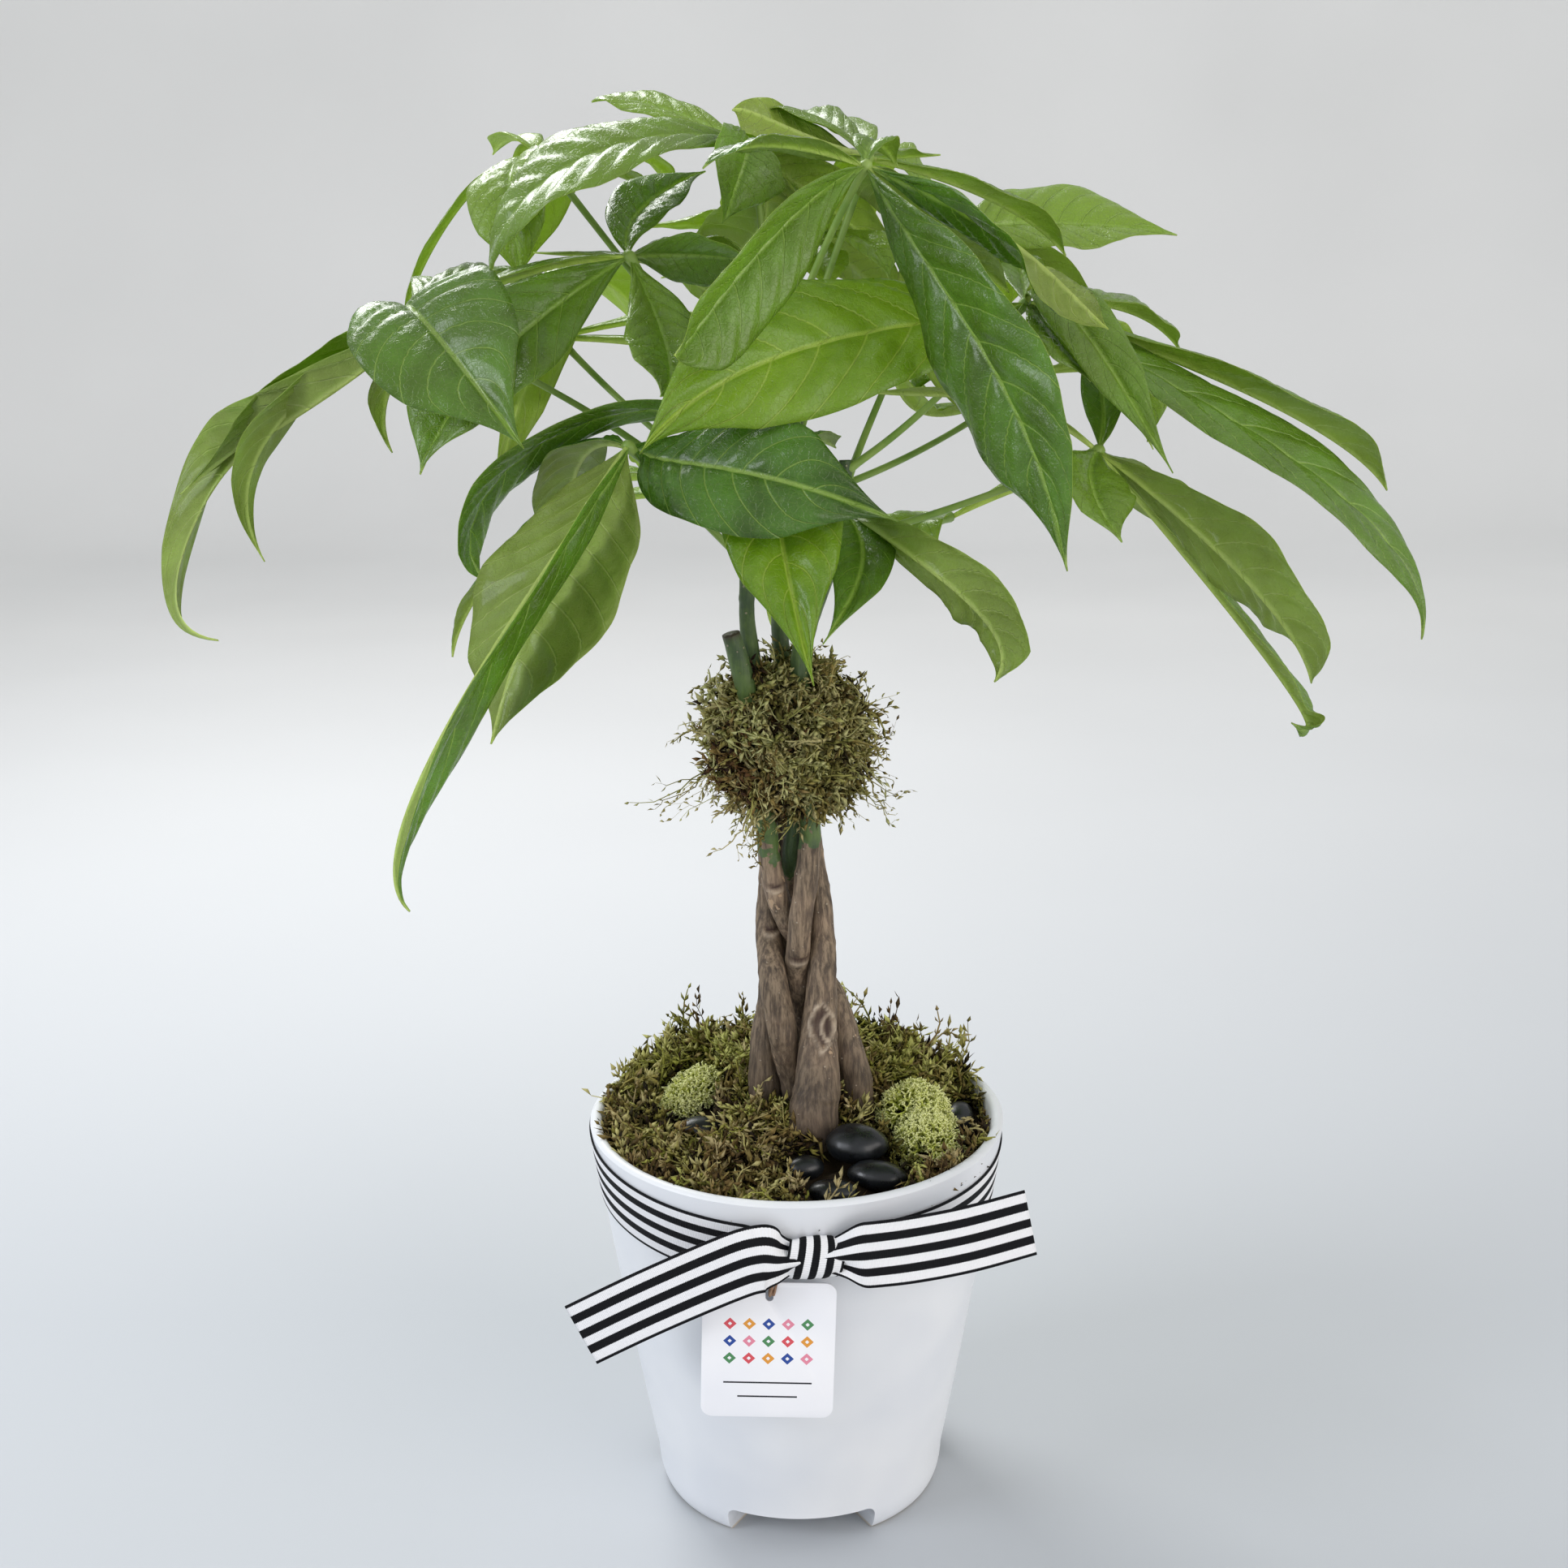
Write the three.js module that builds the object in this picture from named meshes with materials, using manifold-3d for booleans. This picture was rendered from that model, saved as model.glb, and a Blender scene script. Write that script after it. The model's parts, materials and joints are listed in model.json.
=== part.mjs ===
// Potted money tree: five woven stems in a white footed pot, palmate leaves, moss, a tied ribbon and a
// gift tag. Millimetres, +Z up, +X to the right seen from the front, the ribbon's knot on the -Y side.
// Everything is placed from the pot's axis; the whole plant is moved onto its origin at the end.
import * as THREE from 'three';
import { ConvexGeometry } from 'three/addons/geometries/ConvexGeometry.js';
import { mergeVertices } from 'three/addons/utils/BufferGeometryUtils.js';
import Module from 'manifold-3d';

const wasm = await Module();
wasm.setup();

// ---------------------------------------------------------------- driving dimensions
const gap = 0.3; // clearance between neighbouring pieces
const roundSides = 36; // flat sides of the pot, the soil and the ribbon's band

const pot = {
  rimRadius: 85,
  height: 165,
  wall: 5,
  floor: 5,
  footHeight: 12,
  footInner: 43,
  footOuter: 56,
  baseRadius: 60.5, // wall radius where the rounded bottom ends
  baseRound: 14, // height of the rounded bottom
  midRadius: 75, // wall radius at 0.6 of the height: the side swells very slightly
  feet: 3,
  notchAngle: 60, // degrees of each gap between two feet
};

const soilTop = 146;
const stemsEndAt = 95; // depth of the plain holes in the soil

// The band sits level with the rim at the back and dips to the knot at the front.
const ribbon = { width: 25.4, thickness: 0.8, height: 146, dipToFront: 4, dipToRight: 2.75 };
const tag = { width: 51, height: 58, corner: 4.5, thickness: 0.8, slotWidth: 3, slotHeight: 6 };
const ribThickness = 1.4; // of a leaflet

// ---------------------------------------------------------------- materials
function paint(colour, roughness, metalness = 0) {
  return new THREE.MeshStandardMaterial({ color: colour, roughness, metalness });
}
const whiteGlaze = paint(0xdfe2e6, 0.45);
const darkSoil = paint(0x2e241c, 0.95);
const sphagnum = paint(0x7d7a3c, 0.95);
const reindeerMoss = paint(0xa7b45c, 0.95);
const blackPebble = paint(0x17191c, 0.3);
const bark = paint(0x877462, 0.85);
const leafGreen = paint(0x3a7426, 0.4);
const limeGreen = paint(0x6da32c, 0.45);
const wovenRibbon = paint(0xe6e6ea, 0.7);
const whiteCard = paint(0xf4f5fa, 0.6);
const raffia = paint(0x9a7750, 0.8);

// ---------------------------------------------------------------- solids
function toSolid(geometry) {
  const bare = geometry.clone();
  bare.deleteAttribute('normal');
  bare.deleteAttribute('uv');
  const merged = mergeVertices(bare, 1e-4);
  const corners = new Uint32Array(merged.index.array);
  if (signedVolume(merged.attributes.position, corners) < 0) corners.reverse();
  return new wasm.Manifold(
    new wasm.Mesh({
      numProp: 3,
      vertProperties: new Float32Array(merged.attributes.position.array),
      triVerts: corners,
    })
  );
}

// Negative where the faces of a closed mesh look inwards.
function signedVolume(place, corners) {
  const [a, b, c] = [new THREE.Vector3(), new THREE.Vector3(), new THREE.Vector3()];
  let volume = 0;
  for (let i = 0; i < corners.length; i += 3) {
    a.fromBufferAttribute(place, corners[i]);
    b.fromBufferAttribute(place, corners[i + 1]);
    c.fromBufferAttribute(place, corners[i + 2]);
    volume += a.dot(b.cross(c)) / 6;
  }
  return volume;
}

function toGeometry(solid) {
  const mesh = solid.getMesh();
  const geometry = new THREE.BufferGeometry();
  geometry.setAttribute('position', new THREE.BufferAttribute(new Float32Array(mesh.vertProperties), 3));
  geometry.setIndex(new THREE.BufferAttribute(new Uint32Array(mesh.triVerts), 1));
  geometry.computeVertexNormals();
  return geometry;
}

function joined(solids) {
  return wasm.Manifold.union(solids);
}

// Joins leave slivers behind, so corners closer together than a tenth of a millimetre become one.
const finestDetail = 0.1;

function withoutSlivers(solid) {
  const mesh = solid.simplify(finestDetail).getMesh();
  const { vertProperties: places, triVerts: corners } = mesh;
  const leader = Array.from({ length: places.length / 3 }, (_, i) => i);
  const find = (i) => (leader[i] === i ? i : find(leader[i]));
  for (let i = 0; i < corners.length; i += 1) {
    const [a, b] = [corners[i], corners[i % 3 === 2 ? i - 2 : i + 1]];
    const apart = Math.hypot(...[0, 1, 2].map((k) => places[3 * a + k] - places[3 * b + k]));
    if (apart < finestDetail) leader[find(b)] = find(a);
  }
  const kept = [];
  for (let i = 0; i < corners.length; i += 3) {
    const [a, b, c] = [find(corners[i]), find(corners[i + 1]), find(corners[i + 2])];
    if (a !== b && b !== c && c !== a) kept.push(a, b, c);
  }
  const triVerts = new Uint32Array(kept);
  const welded = new wasm.Mesh({ numProp: 3, vertProperties: places, triVerts });
  return new wasm.Manifold(welded).simplify(finestDetail);
}

function addPiece(group, name, solid, material) {
  const mesh = new THREE.Mesh(toGeometry(withoutSlivers(solid)), material);
  mesh.name = name;
  group.add(mesh);
}

// A closed skin over rings of points: each ring has the same count, and both ends are capped by a point.
function skinOverRings(rings, firstPoint, lastPoint) {
  const count = rings[0].length;
  const points = [firstPoint, ...rings.flat(), lastPoint];
  const index = [];
  const at = (ring, i) => 1 + ring * count + (i % count);
  for (let i = 0; i < count; i += 1) {
    index.push(0, at(0, i + 1), at(0, i));
    index.push(points.length - 1, at(rings.length - 1, i), at(rings.length - 1, i + 1));
  }
  for (let ring = 0; ring < rings.length - 1; ring += 1) {
    for (let i = 0; i < count; i += 1) {
      index.push(at(ring, i), at(ring, i + 1), at(ring + 1, i + 1));
      index.push(at(ring, i), at(ring + 1, i + 1), at(ring + 1, i));
    }
  }
  const geometry = new THREE.BufferGeometry();
  geometry.setAttribute('position', new THREE.Float32BufferAttribute(points.flatMap((p) => p.toArray()), 3));
  geometry.setIndex(index);
  return toSolid(geometry);
}

function latheSolid(profile, segments) {
  const lathe = new THREE.LatheGeometry(profile, segments);
  lathe.rotateX(Math.PI / 2);
  return toSolid(lathe);
}

// Frames carried along a polyline without twisting, starting from a level sideways direction.
function carriedFrames(points) {
  const last = points.length - 1;
  const frames = [];
  let side = null;
  for (let i = 0; i <= last; i += 1) {
    const ahead = points[Math.min(i + 1, last)].clone().sub(points[Math.max(i - 1, 0)]).normalize();
    if (side === null) {
      side = new THREE.Vector3(-ahead.y, ahead.x, 0);
      if (side.lengthSq() < 1e-8) side.set(0, 1, 0);
    }
    side = side.clone().addScaledVector(ahead, -side.dot(ahead)).normalize();
    frames.push({ ahead, side, up: ahead.clone().cross(side) });
  }
  return frames;
}

// A round tube along points, whose radius is given at each point.
function tube(points, radii, sides) {
  const frames = carriedFrames(points);
  const rings = points.map((point, k) => {
    const ring = [];
    for (let i = 0; i < sides; i += 1) {
      const turn = (2 * Math.PI * i) / sides;
      ring.push(
        point
          .clone()
          .addScaledVector(frames[k].side, radii[k] * Math.cos(turn))
          .addScaledVector(frames[k].up, radii[k] * Math.sin(turn))
      );
    }
    return ring;
  });
  return skinOverRings(rings, points[0], points[points.length - 1]);
}

// Bezier curve through its end points, pulled towards the points between.
function bezierPoint(controls, t) {
  let level = controls.map((p) => p.clone());
  while (level.length > 1) {
    level = level.slice(1).map((p, i) => level[i].clone().lerp(p, t));
  }
  return level[0];
}

function seededRandom(seed) {
  let state = seed;
  return () => {
    state = (state * 1664525 + 1013904223) % 4294967296;
    return state / 4294967296;
  };
}

// ---------------------------------------------------------------- pot
function wallRadius(z) {
  if (z < pot.baseRound) {
    const rise = 1 - z / pot.baseRound;
    return pot.footOuter + (pot.baseRadius - pot.footOuter) * Math.sqrt(Math.max(0, 1 - rise * rise));
  }
  const up = (z - pot.baseRound) / (pot.height - pot.baseRound);
  const straight = pot.baseRadius + (pot.rimRadius - pot.baseRadius) * up;
  const swell = pot.midRadius - (pot.baseRadius + (pot.rimRadius - pot.baseRadius) * 0.56);
  return straight + swell * 4 * up * (1 - up);
}

function makePot() {
  const outside = [0, 2, 7, 14, 55, 100, pot.height - 2.5].map(
    (z) => new THREE.Vector2(wallRadius(z), z)
  );
  const lip = pot.wall / 2;
  const rim = [];
  for (let i = 0; i <= 3; i += 1) {
    const turn = (Math.PI * i) / 3;
    const middle = pot.rimRadius - lip;
    rim.push(new THREE.Vector2(middle + lip * Math.cos(turn), pot.height - lip + lip * Math.sin(turn)));
  }
  const inside = [100, 55, 24].map((z) => new THREE.Vector2(wallRadius(z) - pot.wall, z));
  const floorTop = pot.footHeight + pot.floor;
  const profile = [
    new THREE.Vector2(0, pot.footHeight),
    new THREE.Vector2(pot.footInner, pot.footHeight),
    new THREE.Vector2(pot.footInner, 0),
    ...outside,
    ...rim,
    ...inside,
    new THREE.Vector2(wallRadius(24) - pot.wall - 7, floorTop),
    new THREE.Vector2(0, floorTop),
  ];
  let body = latheSolid(profile, roundSides);
  for (let i = 0; i < pot.feet; i += 1) {
    const middle = THREE.MathUtils.degToRad(-90 + (360 * i) / pot.feet);
    const half = THREE.MathUtils.degToRad(pot.notchAngle / 2);
    const wedge = new THREE.Shape([
      new THREE.Vector2(0, 0),
      new THREE.Vector2(90 * Math.cos(middle - half), 90 * Math.sin(middle - half)),
      new THREE.Vector2(100 * Math.cos(middle), 100 * Math.sin(middle)),
      new THREE.Vector2(90 * Math.cos(middle + half), 90 * Math.sin(middle + half)),
    ]);
    const cutter = new THREE.ExtrudeGeometry(wedge, { depth: pot.footHeight + 2, bevelEnabled: false });
    cutter.translate(0, 0, -2);
    body = body.subtract(toSolid(cutter));
  }
  return body;
}

// ---------------------------------------------------------------- woven stems
// Each stem: points from its cut or leafy top down into the soil, as x, y, z and radius.
const stemRoutes = {
  stem_1: [
    [-23, -16, 369, 3.1],
    [-19, -15, 353, 3.6],
    [-14, -12, 329, 4.1],
    [-10.8, -7.8, 289, 4.1],
    [-9.2, -7, 273, 4.2],
    [-5.8, -5.2, 257, 4.4],
    [-0.1, 0.3, 242, 4.5],
    [6, 4.5, 228, 4.7],
    [13.9, 3.5, 216, 5],
    [18.8, 1, 203, 5.3],
    [22, -1, 189, 5.9],
    [24.9, 0, 174, 6.4],
    [25.2, 1, 130, 6.5],
    [24.5, 2, stemsEndAt, 4],
  ],
  stem_2: [
    [-14, -2, 432, 2],
    [-15, -4, 423, 2.2],
    [-16, -5, 405, 2.4],
    [-17, -4, 384, 2.6],
    [-16, -1, 360, 3],
    [-9, 2, 327, 3.4],
    [-0.3, -3, 295, 2.9],
    [-1.3, -1.5, 277, 3],
    [-1.3, 4.6, 264, 3.4],
    [-3.8, 10.5, 245, 4.2],
    [-8.5, 9, 226, 4.7],
    [-10.3, 4.6, 210, 5.1],
    [-12.7, 3.2, 191, 5.9],
    [-12.7, 3, 168, 6.7],
    [-12.6, 3, 130, 6.8],
    [-12, 3, stemsEndAt, 4],
  ],
  stem_3: [
    [21, -1, 432, 2],
    [21, -2, 422, 2.2],
    [20, -4, 405, 2.5],
    [11, -8, 383, 3],
    [4, -9, 361, 3.5],
    [3, -9, 335, 3.9],
    [6.4, -9.5, 293, 3.8],
    [6, -10, 280, 4.1],
    [4.6, -10.6, 267, 4.4],
    [2.3, -10.6, 252, 4.5],
    [1.2, -8.5, 238, 4.4],
    [0.6, -3.5, 226, 4.3],
    [2.2, 3.5, 210, 4.5],
    [5, 9.5, 190, 5],
    [7.5, 13.5, 170, 5.4],
    [8, 14.5, 130, 5.8],
    [7, 14, stemsEndAt, 4],
  ],
  stem_4: [
    [4, 17, 456, 1.8],
    [3, 16, 441, 2],
    [2, 15, 427, 2.2],
    [-1, 14, 407, 2.4],
    [-4, 13, 382, 2.8],
    [-4, 11, 357, 3.2],
    [2, 8, 324, 3.7],
    [5.4, 3, 295, 3.9],
    [8, 0, 273, 3.9],
    [10.1, -2, 260, 4.1],
    [11.1, -4.5, 244, 4.6],
    [10.8, -8, 227.5, 5.5],
    [9.8, -9.8, 207, 7],
    [9, -13.3, 194, 8.2],
    [7.9, -15.2, 181, 9.2],
    [6.4, -17, 167, 9.7],
    [6, -17.5, 130, 9.8],
    [6, -15, stemsEndAt, 5],
  ],
  stem_5: [
    [-5, 18, 332, 3.5],
    [-7, 12.5, 305, 3.9],
    [-7.3, 8, 290, 4.1],
    [-8.4, 5.5, 277, 4.2],
    [-9.7, 4.4, 263, 4.4],
    [-10.6, 4.7, 252, 4.5],
    [-10.5, 0.9, 242, 4.7],
    [-9.8, -5, 233.6, 5],
    [-8.9, -8.8, 226, 5.2],
    [-7, -10.2, 214, 5.5],
    [-5.4, -9.5, 204, 5.7],
    [-3.6, -5.3, 191.5, 5.8],
    [-1, -2, 178, 5.3],
    [0, -0.5, 165, 5.2],
    [0, -0.5, 130, 5.2],
    [0, -0.5, stemsEndAt, 4],
  ],
};

// The middle of a stem at a height.
function stemPoint(name, height) {
  const route = stemRoutes[name];
  const below = route.findIndex(([, , z]) => z <= height);
  const [upper, lower] = [route[below - 1], route[below]];
  const t = (upper[2] - height) / (upper[2] - lower[2]);
  return new THREE.Vector3(...upper.slice(0, 3)).lerp(new THREE.Vector3(...lower.slice(0, 3)), t);
}

function makeStem(route, extra = 0) {
  const curve = new THREE.CatmullRomCurve3(route.map(([x, y, z]) => new THREE.Vector3(x, y, z)));
  const count = Math.round(route.length * 1.4);
  const points = [];
  const radii = [];
  for (let i = 0; i <= count; i += 1) {
    const place = (i / count) * (route.length - 1);
    const below = Math.min(Math.floor(place), route.length - 2);
    const radius = THREE.MathUtils.lerp(route[below][3], route[below + 1][3], place - below);
    points.push(curve.getPoint(i / count));
    radii.push(radius + extra);
  }
  return tube(points, radii, 7);
}

// ---------------------------------------------------------------- soil and what lies on it
function makeSoil() {
  const side = [24, 55, 100, soilTop].map((z) => new THREE.Vector2(wallRadius(z) - pot.wall - gap, z));
  const bottom = pot.footHeight + pot.floor + gap;
  const profile = [
    new THREE.Vector2(0, bottom),
    new THREE.Vector2(wallRadius(24) - pot.wall - 7.5, bottom),
    ...side,
    new THREE.Vector2(0, soilTop),
  ];
  return latheSolid(profile, roundSides);
}

// Pebbles: centre x, y, z, half sizes, and turn about the vertical.
const pebbles = {
  pebble_1: { at: [-40.7, -4, 157.5], half: [10, 7, 6], turn: 10 },
  pebble_2: { at: [23.5, -31, 164], half: [12.5, 9.5, 7.5], turn: -12 },
  pebble_3: { at: [31.5, -46, 157.5], half: [12, 7.5, 5.5], turn: -15 },
  pebble_4: { at: [2.5, -38.5, 157.5], half: [8, 6, 5], turn: 12 },
  pebble_5: { at: [13.5, -55.5, 155.5], half: [10, 6, 4.5], turn: -6 },
  pebble_6: { at: [67.3, 7, 157], half: [6.5, 8.5, 6.5], turn: -10 },
};

function makePebble({ at, half, turn }, extra = 0) {
  const stone = new THREE.IcosahedronGeometry(1, 1);
  const place = stone.attributes.position;
  const point = new THREE.Vector3();
  for (let i = 0; i < place.count; i += 1) {
    point.fromBufferAttribute(place, i);
    const uneven = 1 + 0.05 * Math.sin(3.1 * point.x + at[0]) + 0.04 * Math.cos(4.3 * point.y + at[1]);
    point.multiplyScalar(uneven);
    place.setXYZ(i, point.x * (half[0] + extra), point.y * (half[1] + extra), point.z * (half[2] + extra));
  }
  stone.rotateZ(THREE.MathUtils.degToRad(turn));
  stone.translate(...at);
  return toSolid(stone);
}

// Reindeer moss: a lumpy cushion with branching knobs standing out of it.
const lichens = {
  lichen_left: { at: [-43.7, 19, 161.5], half: [12, 10.5, 10], knobs: 8, seed: 11 },
  lichen_right: { at: [49.5, -7, 161], half: [14, 15, 13], knobs: 10, seed: 23 },
};

function makeLichenCore({ at, half }, extra = 0) {
  const core = new THREE.SphereGeometry(1, 10, 7);
  core.scale(half[0] + extra, half[1] + extra, half[2] + extra);
  core.translate(...at);
  return toSolid(core);
}

function makeLichen(clump) {
  const random = seededRandom(clump.seed);
  const solids = [makeLichenCore(clump)];
  for (let i = 0; i < clump.knobs; i += 1) {
    const turn = 2.4 * i;
    const rise = 0.25 + 0.72 * random();
    const level = Math.sqrt(1 - rise * rise);
    const knob = new THREE.IcosahedronGeometry(2.1 + 1.2 * random(), 0);
    knob.rotateZ(6 * random());
    knob.translate(
      clump.at[0] + (clump.half[0] + 0.4) * level * Math.cos(turn),
      clump.at[1] + (clump.half[1] + 0.4) * level * Math.sin(turn),
      clump.at[2] + (clump.half[2] + 0.4) * rise
    );
    solids.push(toSolid(knob));
  }
  return joined(solids);
}

// A pointed, bent strand of moss, rooted well inside the body it stands out of.
function mossStrand(root, out, reach, droop, radius) {
  const points = [0, 0.35, 0.7, 1].map((t) =>
    root.clone().addScaledVector(out, reach * t).add(new THREE.Vector3(0, 0, -droop * t * t))
  );
  return tube(points, [radius, radius * 0.9, radius * 0.7, 0.5], 4);
}

const mossBed = { bottom: soilTop + gap, edge: 154, crown: 12, crownRadius: 42, backRise: 7, strands: 7 };

function mossHeight(x, y) {
  const r = Math.hypot(x, y - 12);
  const mound = mossBed.crown * Math.exp(-((r / mossBed.crownRadius) ** 2));
  const lumps = 1.6 * Math.sin(0.21 * x + 1) * Math.cos(0.19 * y) + 0.9 * Math.sin(0.47 * x - 0.33 * y);
  return mossBed.edge + mound + lumps + (mossBed.backRise * Math.max(0, y)) / 78;
}

function makeMossBed() {
  const radius = wallRadius(mossBed.edge) - pot.wall - 1.2;
  const rings = [];
  const ringCount = 5;
  const sides = 20;
  for (let k = 0; k <= ringCount; k += 1) {
    const ring = [];
    for (let i = 0; i < sides; i += 1) {
      const turn = (2 * Math.PI * i) / sides;
      const r = k === 0 ? radius - 1.5 : radius * (1 - (k - 1) / ringCount);
      const x = r * Math.cos(turn);
      const y = r * Math.sin(turn);
      ring.push(new THREE.Vector3(x, y, k === 0 ? mossBed.bottom : mossHeight(x, y) - (k === 1 ? 1.5 : 0)));
    }
    rings.push(ring);
  }
  const under = new THREE.Vector3(0, 0, mossBed.bottom);
  const bed = skinOverRings(rings, under, new THREE.Vector3(0, 0, mossHeight(0, 0)));
  const random = seededRandom(7);
  const strands = [];
  for (let i = 0; i < mossBed.strands; i += 1) {
    const turn = THREE.MathUtils.degToRad(15 + 150 * random());
    const r = 16 + 44 * random();
    const root = new THREE.Vector3(r * Math.cos(turn), r * Math.sin(turn), 0);
    root.z = mossHeight(root.x, root.y) - 3;
    const lean = 6.28 * random();
    const out = new THREE.Vector3(0.6 * Math.cos(lean), 0.6 * Math.sin(lean), 1).normalize();
    strands.push(mossStrand(root, out, 10 + 9 * random(), 5, 1.6));
  }
  return joined([bed, ...strands]);
}

// ---------------------------------------------------------------- moss round the stems
const collar = { at: [-2, 1, 325], half: [27, 24, 26], strands: 20, seed: 5 };

function makeCollar() {
  const core = new THREE.IcosahedronGeometry(1, 2);
  const place = core.attributes.position;
  const point = new THREE.Vector3();
  for (let i = 0; i < place.count; i += 1) {
    point.fromBufferAttribute(place, i);
    const lump = 1 + 0.07 * Math.sin(6 * point.x + 2) * Math.cos(5 * point.z) + 0.05 * Math.sin(9 * point.y);
    point.multiplyScalar(lump);
    place.setXYZ(i, point.x * collar.half[0], point.y * collar.half[1], point.z * collar.half[2]);
  }
  core.translate(...collar.at);
  const random = seededRandom(collar.seed);
  const solids = [toSolid(core)];
  for (let i = 0; i < collar.strands; i += 1) {
    const height = -0.85 + (1.7 * (i + 0.5)) / collar.strands;
    const turn = 2.4 * i;
    const level = Math.sqrt(1 - height * height);
    const out = new THREE.Vector3(level * Math.cos(turn), level * Math.sin(turn), height);
    const root = new THREE.Vector3(
      collar.at[0] + 0.8 * collar.half[0] * out.x,
      collar.at[1] + 0.8 * collar.half[1] * out.y,
      collar.at[2] + 0.8 * collar.half[2] * out.z
    );
    out.x += 0.5 * (random() - 0.5);
    out.y += 0.5 * (random() - 0.5);
    solids.push(mossStrand(root, out.normalize(), 11 + 12 * random(), 7 * random(), 1.7));
  }
  return joined(solids);
}

// ---------------------------------------------------------------- leaves
// Half width of a leaflet along its length: narrow foot, widest past the middle, drawn-out tip.
const widestAt = 0.56;

function halfWidth(t, width) {
  const power = widestAt / (1 - widestAt);
  const peak = widestAt ** power * (1 - widestAt);
  return Math.max(0.6, (0.5 * width * t ** power * (1 - t)) / peak);
}

// One leaflet: a blade folded along its midrib, thick at the rib and thin at its edges. Each half of it
// is a row of wedges from one section to the next, so that a tightly bent blade stays a sound solid.
function makeLeaflet(hub, leaflet) {
  const steps = (Math.hypot(...leaflet.tip) > 70 ? 6 : 4) + (leaflet.bends.length > 2 ? 2 : 0);
  const pulls = [[0, 0, 0], ...leaflet.bends, leaflet.tip];
  const controls = pulls.map(([x, y, z]) => new THREE.Vector3(x, y, z).add(hub));
  const rib = [];
  for (let i = 0; i <= steps; i += 1) rib.push(bezierPoint(controls, i / steps));
  const frames = carriedFrames(rib);
  const fold = THREE.MathUtils.degToRad(leaflet.fold ?? 14);
  const rings = rib.map((point, i) => {
    const t = i / steps;
    const [rollFoot, rollTip] = leaflet.roll ?? [0, 0];
    const roll = THREE.MathUtils.degToRad(rollFoot + (rollTip - rollFoot) * t);
    const { ahead, side, up } = frames[i];
    const across = side.clone().multiplyScalar(Math.cos(roll)).addScaledVector(up, Math.sin(roll));
    const face = ahead.clone().cross(across);
    const reach = halfWidth(t, leaflet.width);
    const lift = reach * Math.sin(fold);
    const left = point.clone().addScaledVector(across, reach * Math.cos(fold)).addScaledVector(face, lift);
    const right = point.clone().addScaledVector(across, -reach * Math.cos(fold)).addScaledVector(face, lift);
    const half = face.clone().multiplyScalar(ribThickness / 2);
    return { left, right, spine: [point.clone().add(half), point.clone().sub(half)] };
  });
  const wedges = [];
  for (let i = 0; i < steps; i += 1) {
    const [near, far] = [rings[i], rings[i + 1]];
    for (const edge of ['left', 'right']) {
      wedges.push(toSolid(new ConvexGeometry([near[edge], ...near.spine, far[edge], ...far.spine])));
    }
  }
  return joined(wedges);
}

function makeLeaf({ hub, stalk, foot, leaflets }) {
  const top = new THREE.Vector3(...hub);
  const controls = [top, ...stalk.map(([x, y, z]) => new THREE.Vector3(x, y, z)), stemPoint(...foot)];
  const points = [];
  const radii = [];
  const steps = 6;
  for (let i = 0; i <= steps; i += 1) {
    points.push(bezierPoint(controls, i / steps));
    radii.push(i === 0 ? 1.9 : 1.3 + 0.6 * Math.abs(i / steps - 0.4));
  }
  const knuckle = new THREE.IcosahedronGeometry(3, 0);
  knuckle.translate(...hub);
  const blades = leaflets.map((leaflet) => makeLeaflet(top, leaflet));
  return joined([toSolid(knuckle), tube(points, radii, 5), ...blades]);
}

// ---------------------------------------------------------------- ribbon, tag and its tie
// Four corners of a flat strip's cross-section.
function stripSection(point, across, out, width) {
  const reach = across.clone().multiplyScalar(width / 2);
  const thick = out.clone().multiplyScalar(ribbon.thickness / 2);
  return [
    point.clone().add(reach).add(thick),
    point.clone().add(reach).sub(thick),
    point.clone().sub(reach).sub(thick),
    point.clone().sub(reach).add(thick),
  ];
}

// A closed ring of cross-sections, such as the band all round the pot.
function closedLoop(rings) {
  const count = rings[0].length;
  const index = [];
  const at = (ring, i) => (ring % rings.length) * count + (i % count);
  for (let ring = 0; ring < rings.length; ring += 1) {
    for (let i = 0; i < count; i += 1) {
      index.push(at(ring, i), at(ring, i + 1), at(ring + 1, i + 1));
      index.push(at(ring, i), at(ring + 1, i + 1), at(ring + 1, i));
    }
  }
  const places = rings.flat().flatMap((p) => p.toArray());
  const geometry = new THREE.BufferGeometry();
  geometry.setAttribute('position', new THREE.Float32BufferAttribute(places, 3));
  geometry.setIndex(index);
  return toSolid(geometry);
}

// Height of the band's middle at an angle about the pot: -90 degrees is the front.
function bandHeight(angle) {
  return ribbon.height + ribbon.dipToFront * Math.sin(angle) - ribbon.dipToRight * Math.cos(angle);
}

function makeBand() {
  const slope = new THREE.Vector2(wallRadius(156) - wallRadius(134), 22).normalize();
  const rings = [];
  for (let i = 0; i < roundSides; i += 1) {
    const angle = (2 * Math.PI * i) / roundSides;
    const z = bandHeight(angle);
    const r = wallRadius(z) + gap + ribbon.thickness / 2 + 0.2;
    const radial = new THREE.Vector3(Math.cos(angle), Math.sin(angle), 0);
    const across = radial.clone().multiplyScalar(slope.x).setZ(slope.y);
    const out = radial.clone().multiplyScalar(slope.y).setZ(-slope.x);
    rings.push(stripSection(radial.clone().multiplyScalar(r).setZ(z), across, out, ribbon.width));
  }
  return closedLoop(rings);
}

const knot = { at: [5, -86, 143.5], half: [11.5, 4.2, 9] };

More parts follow.
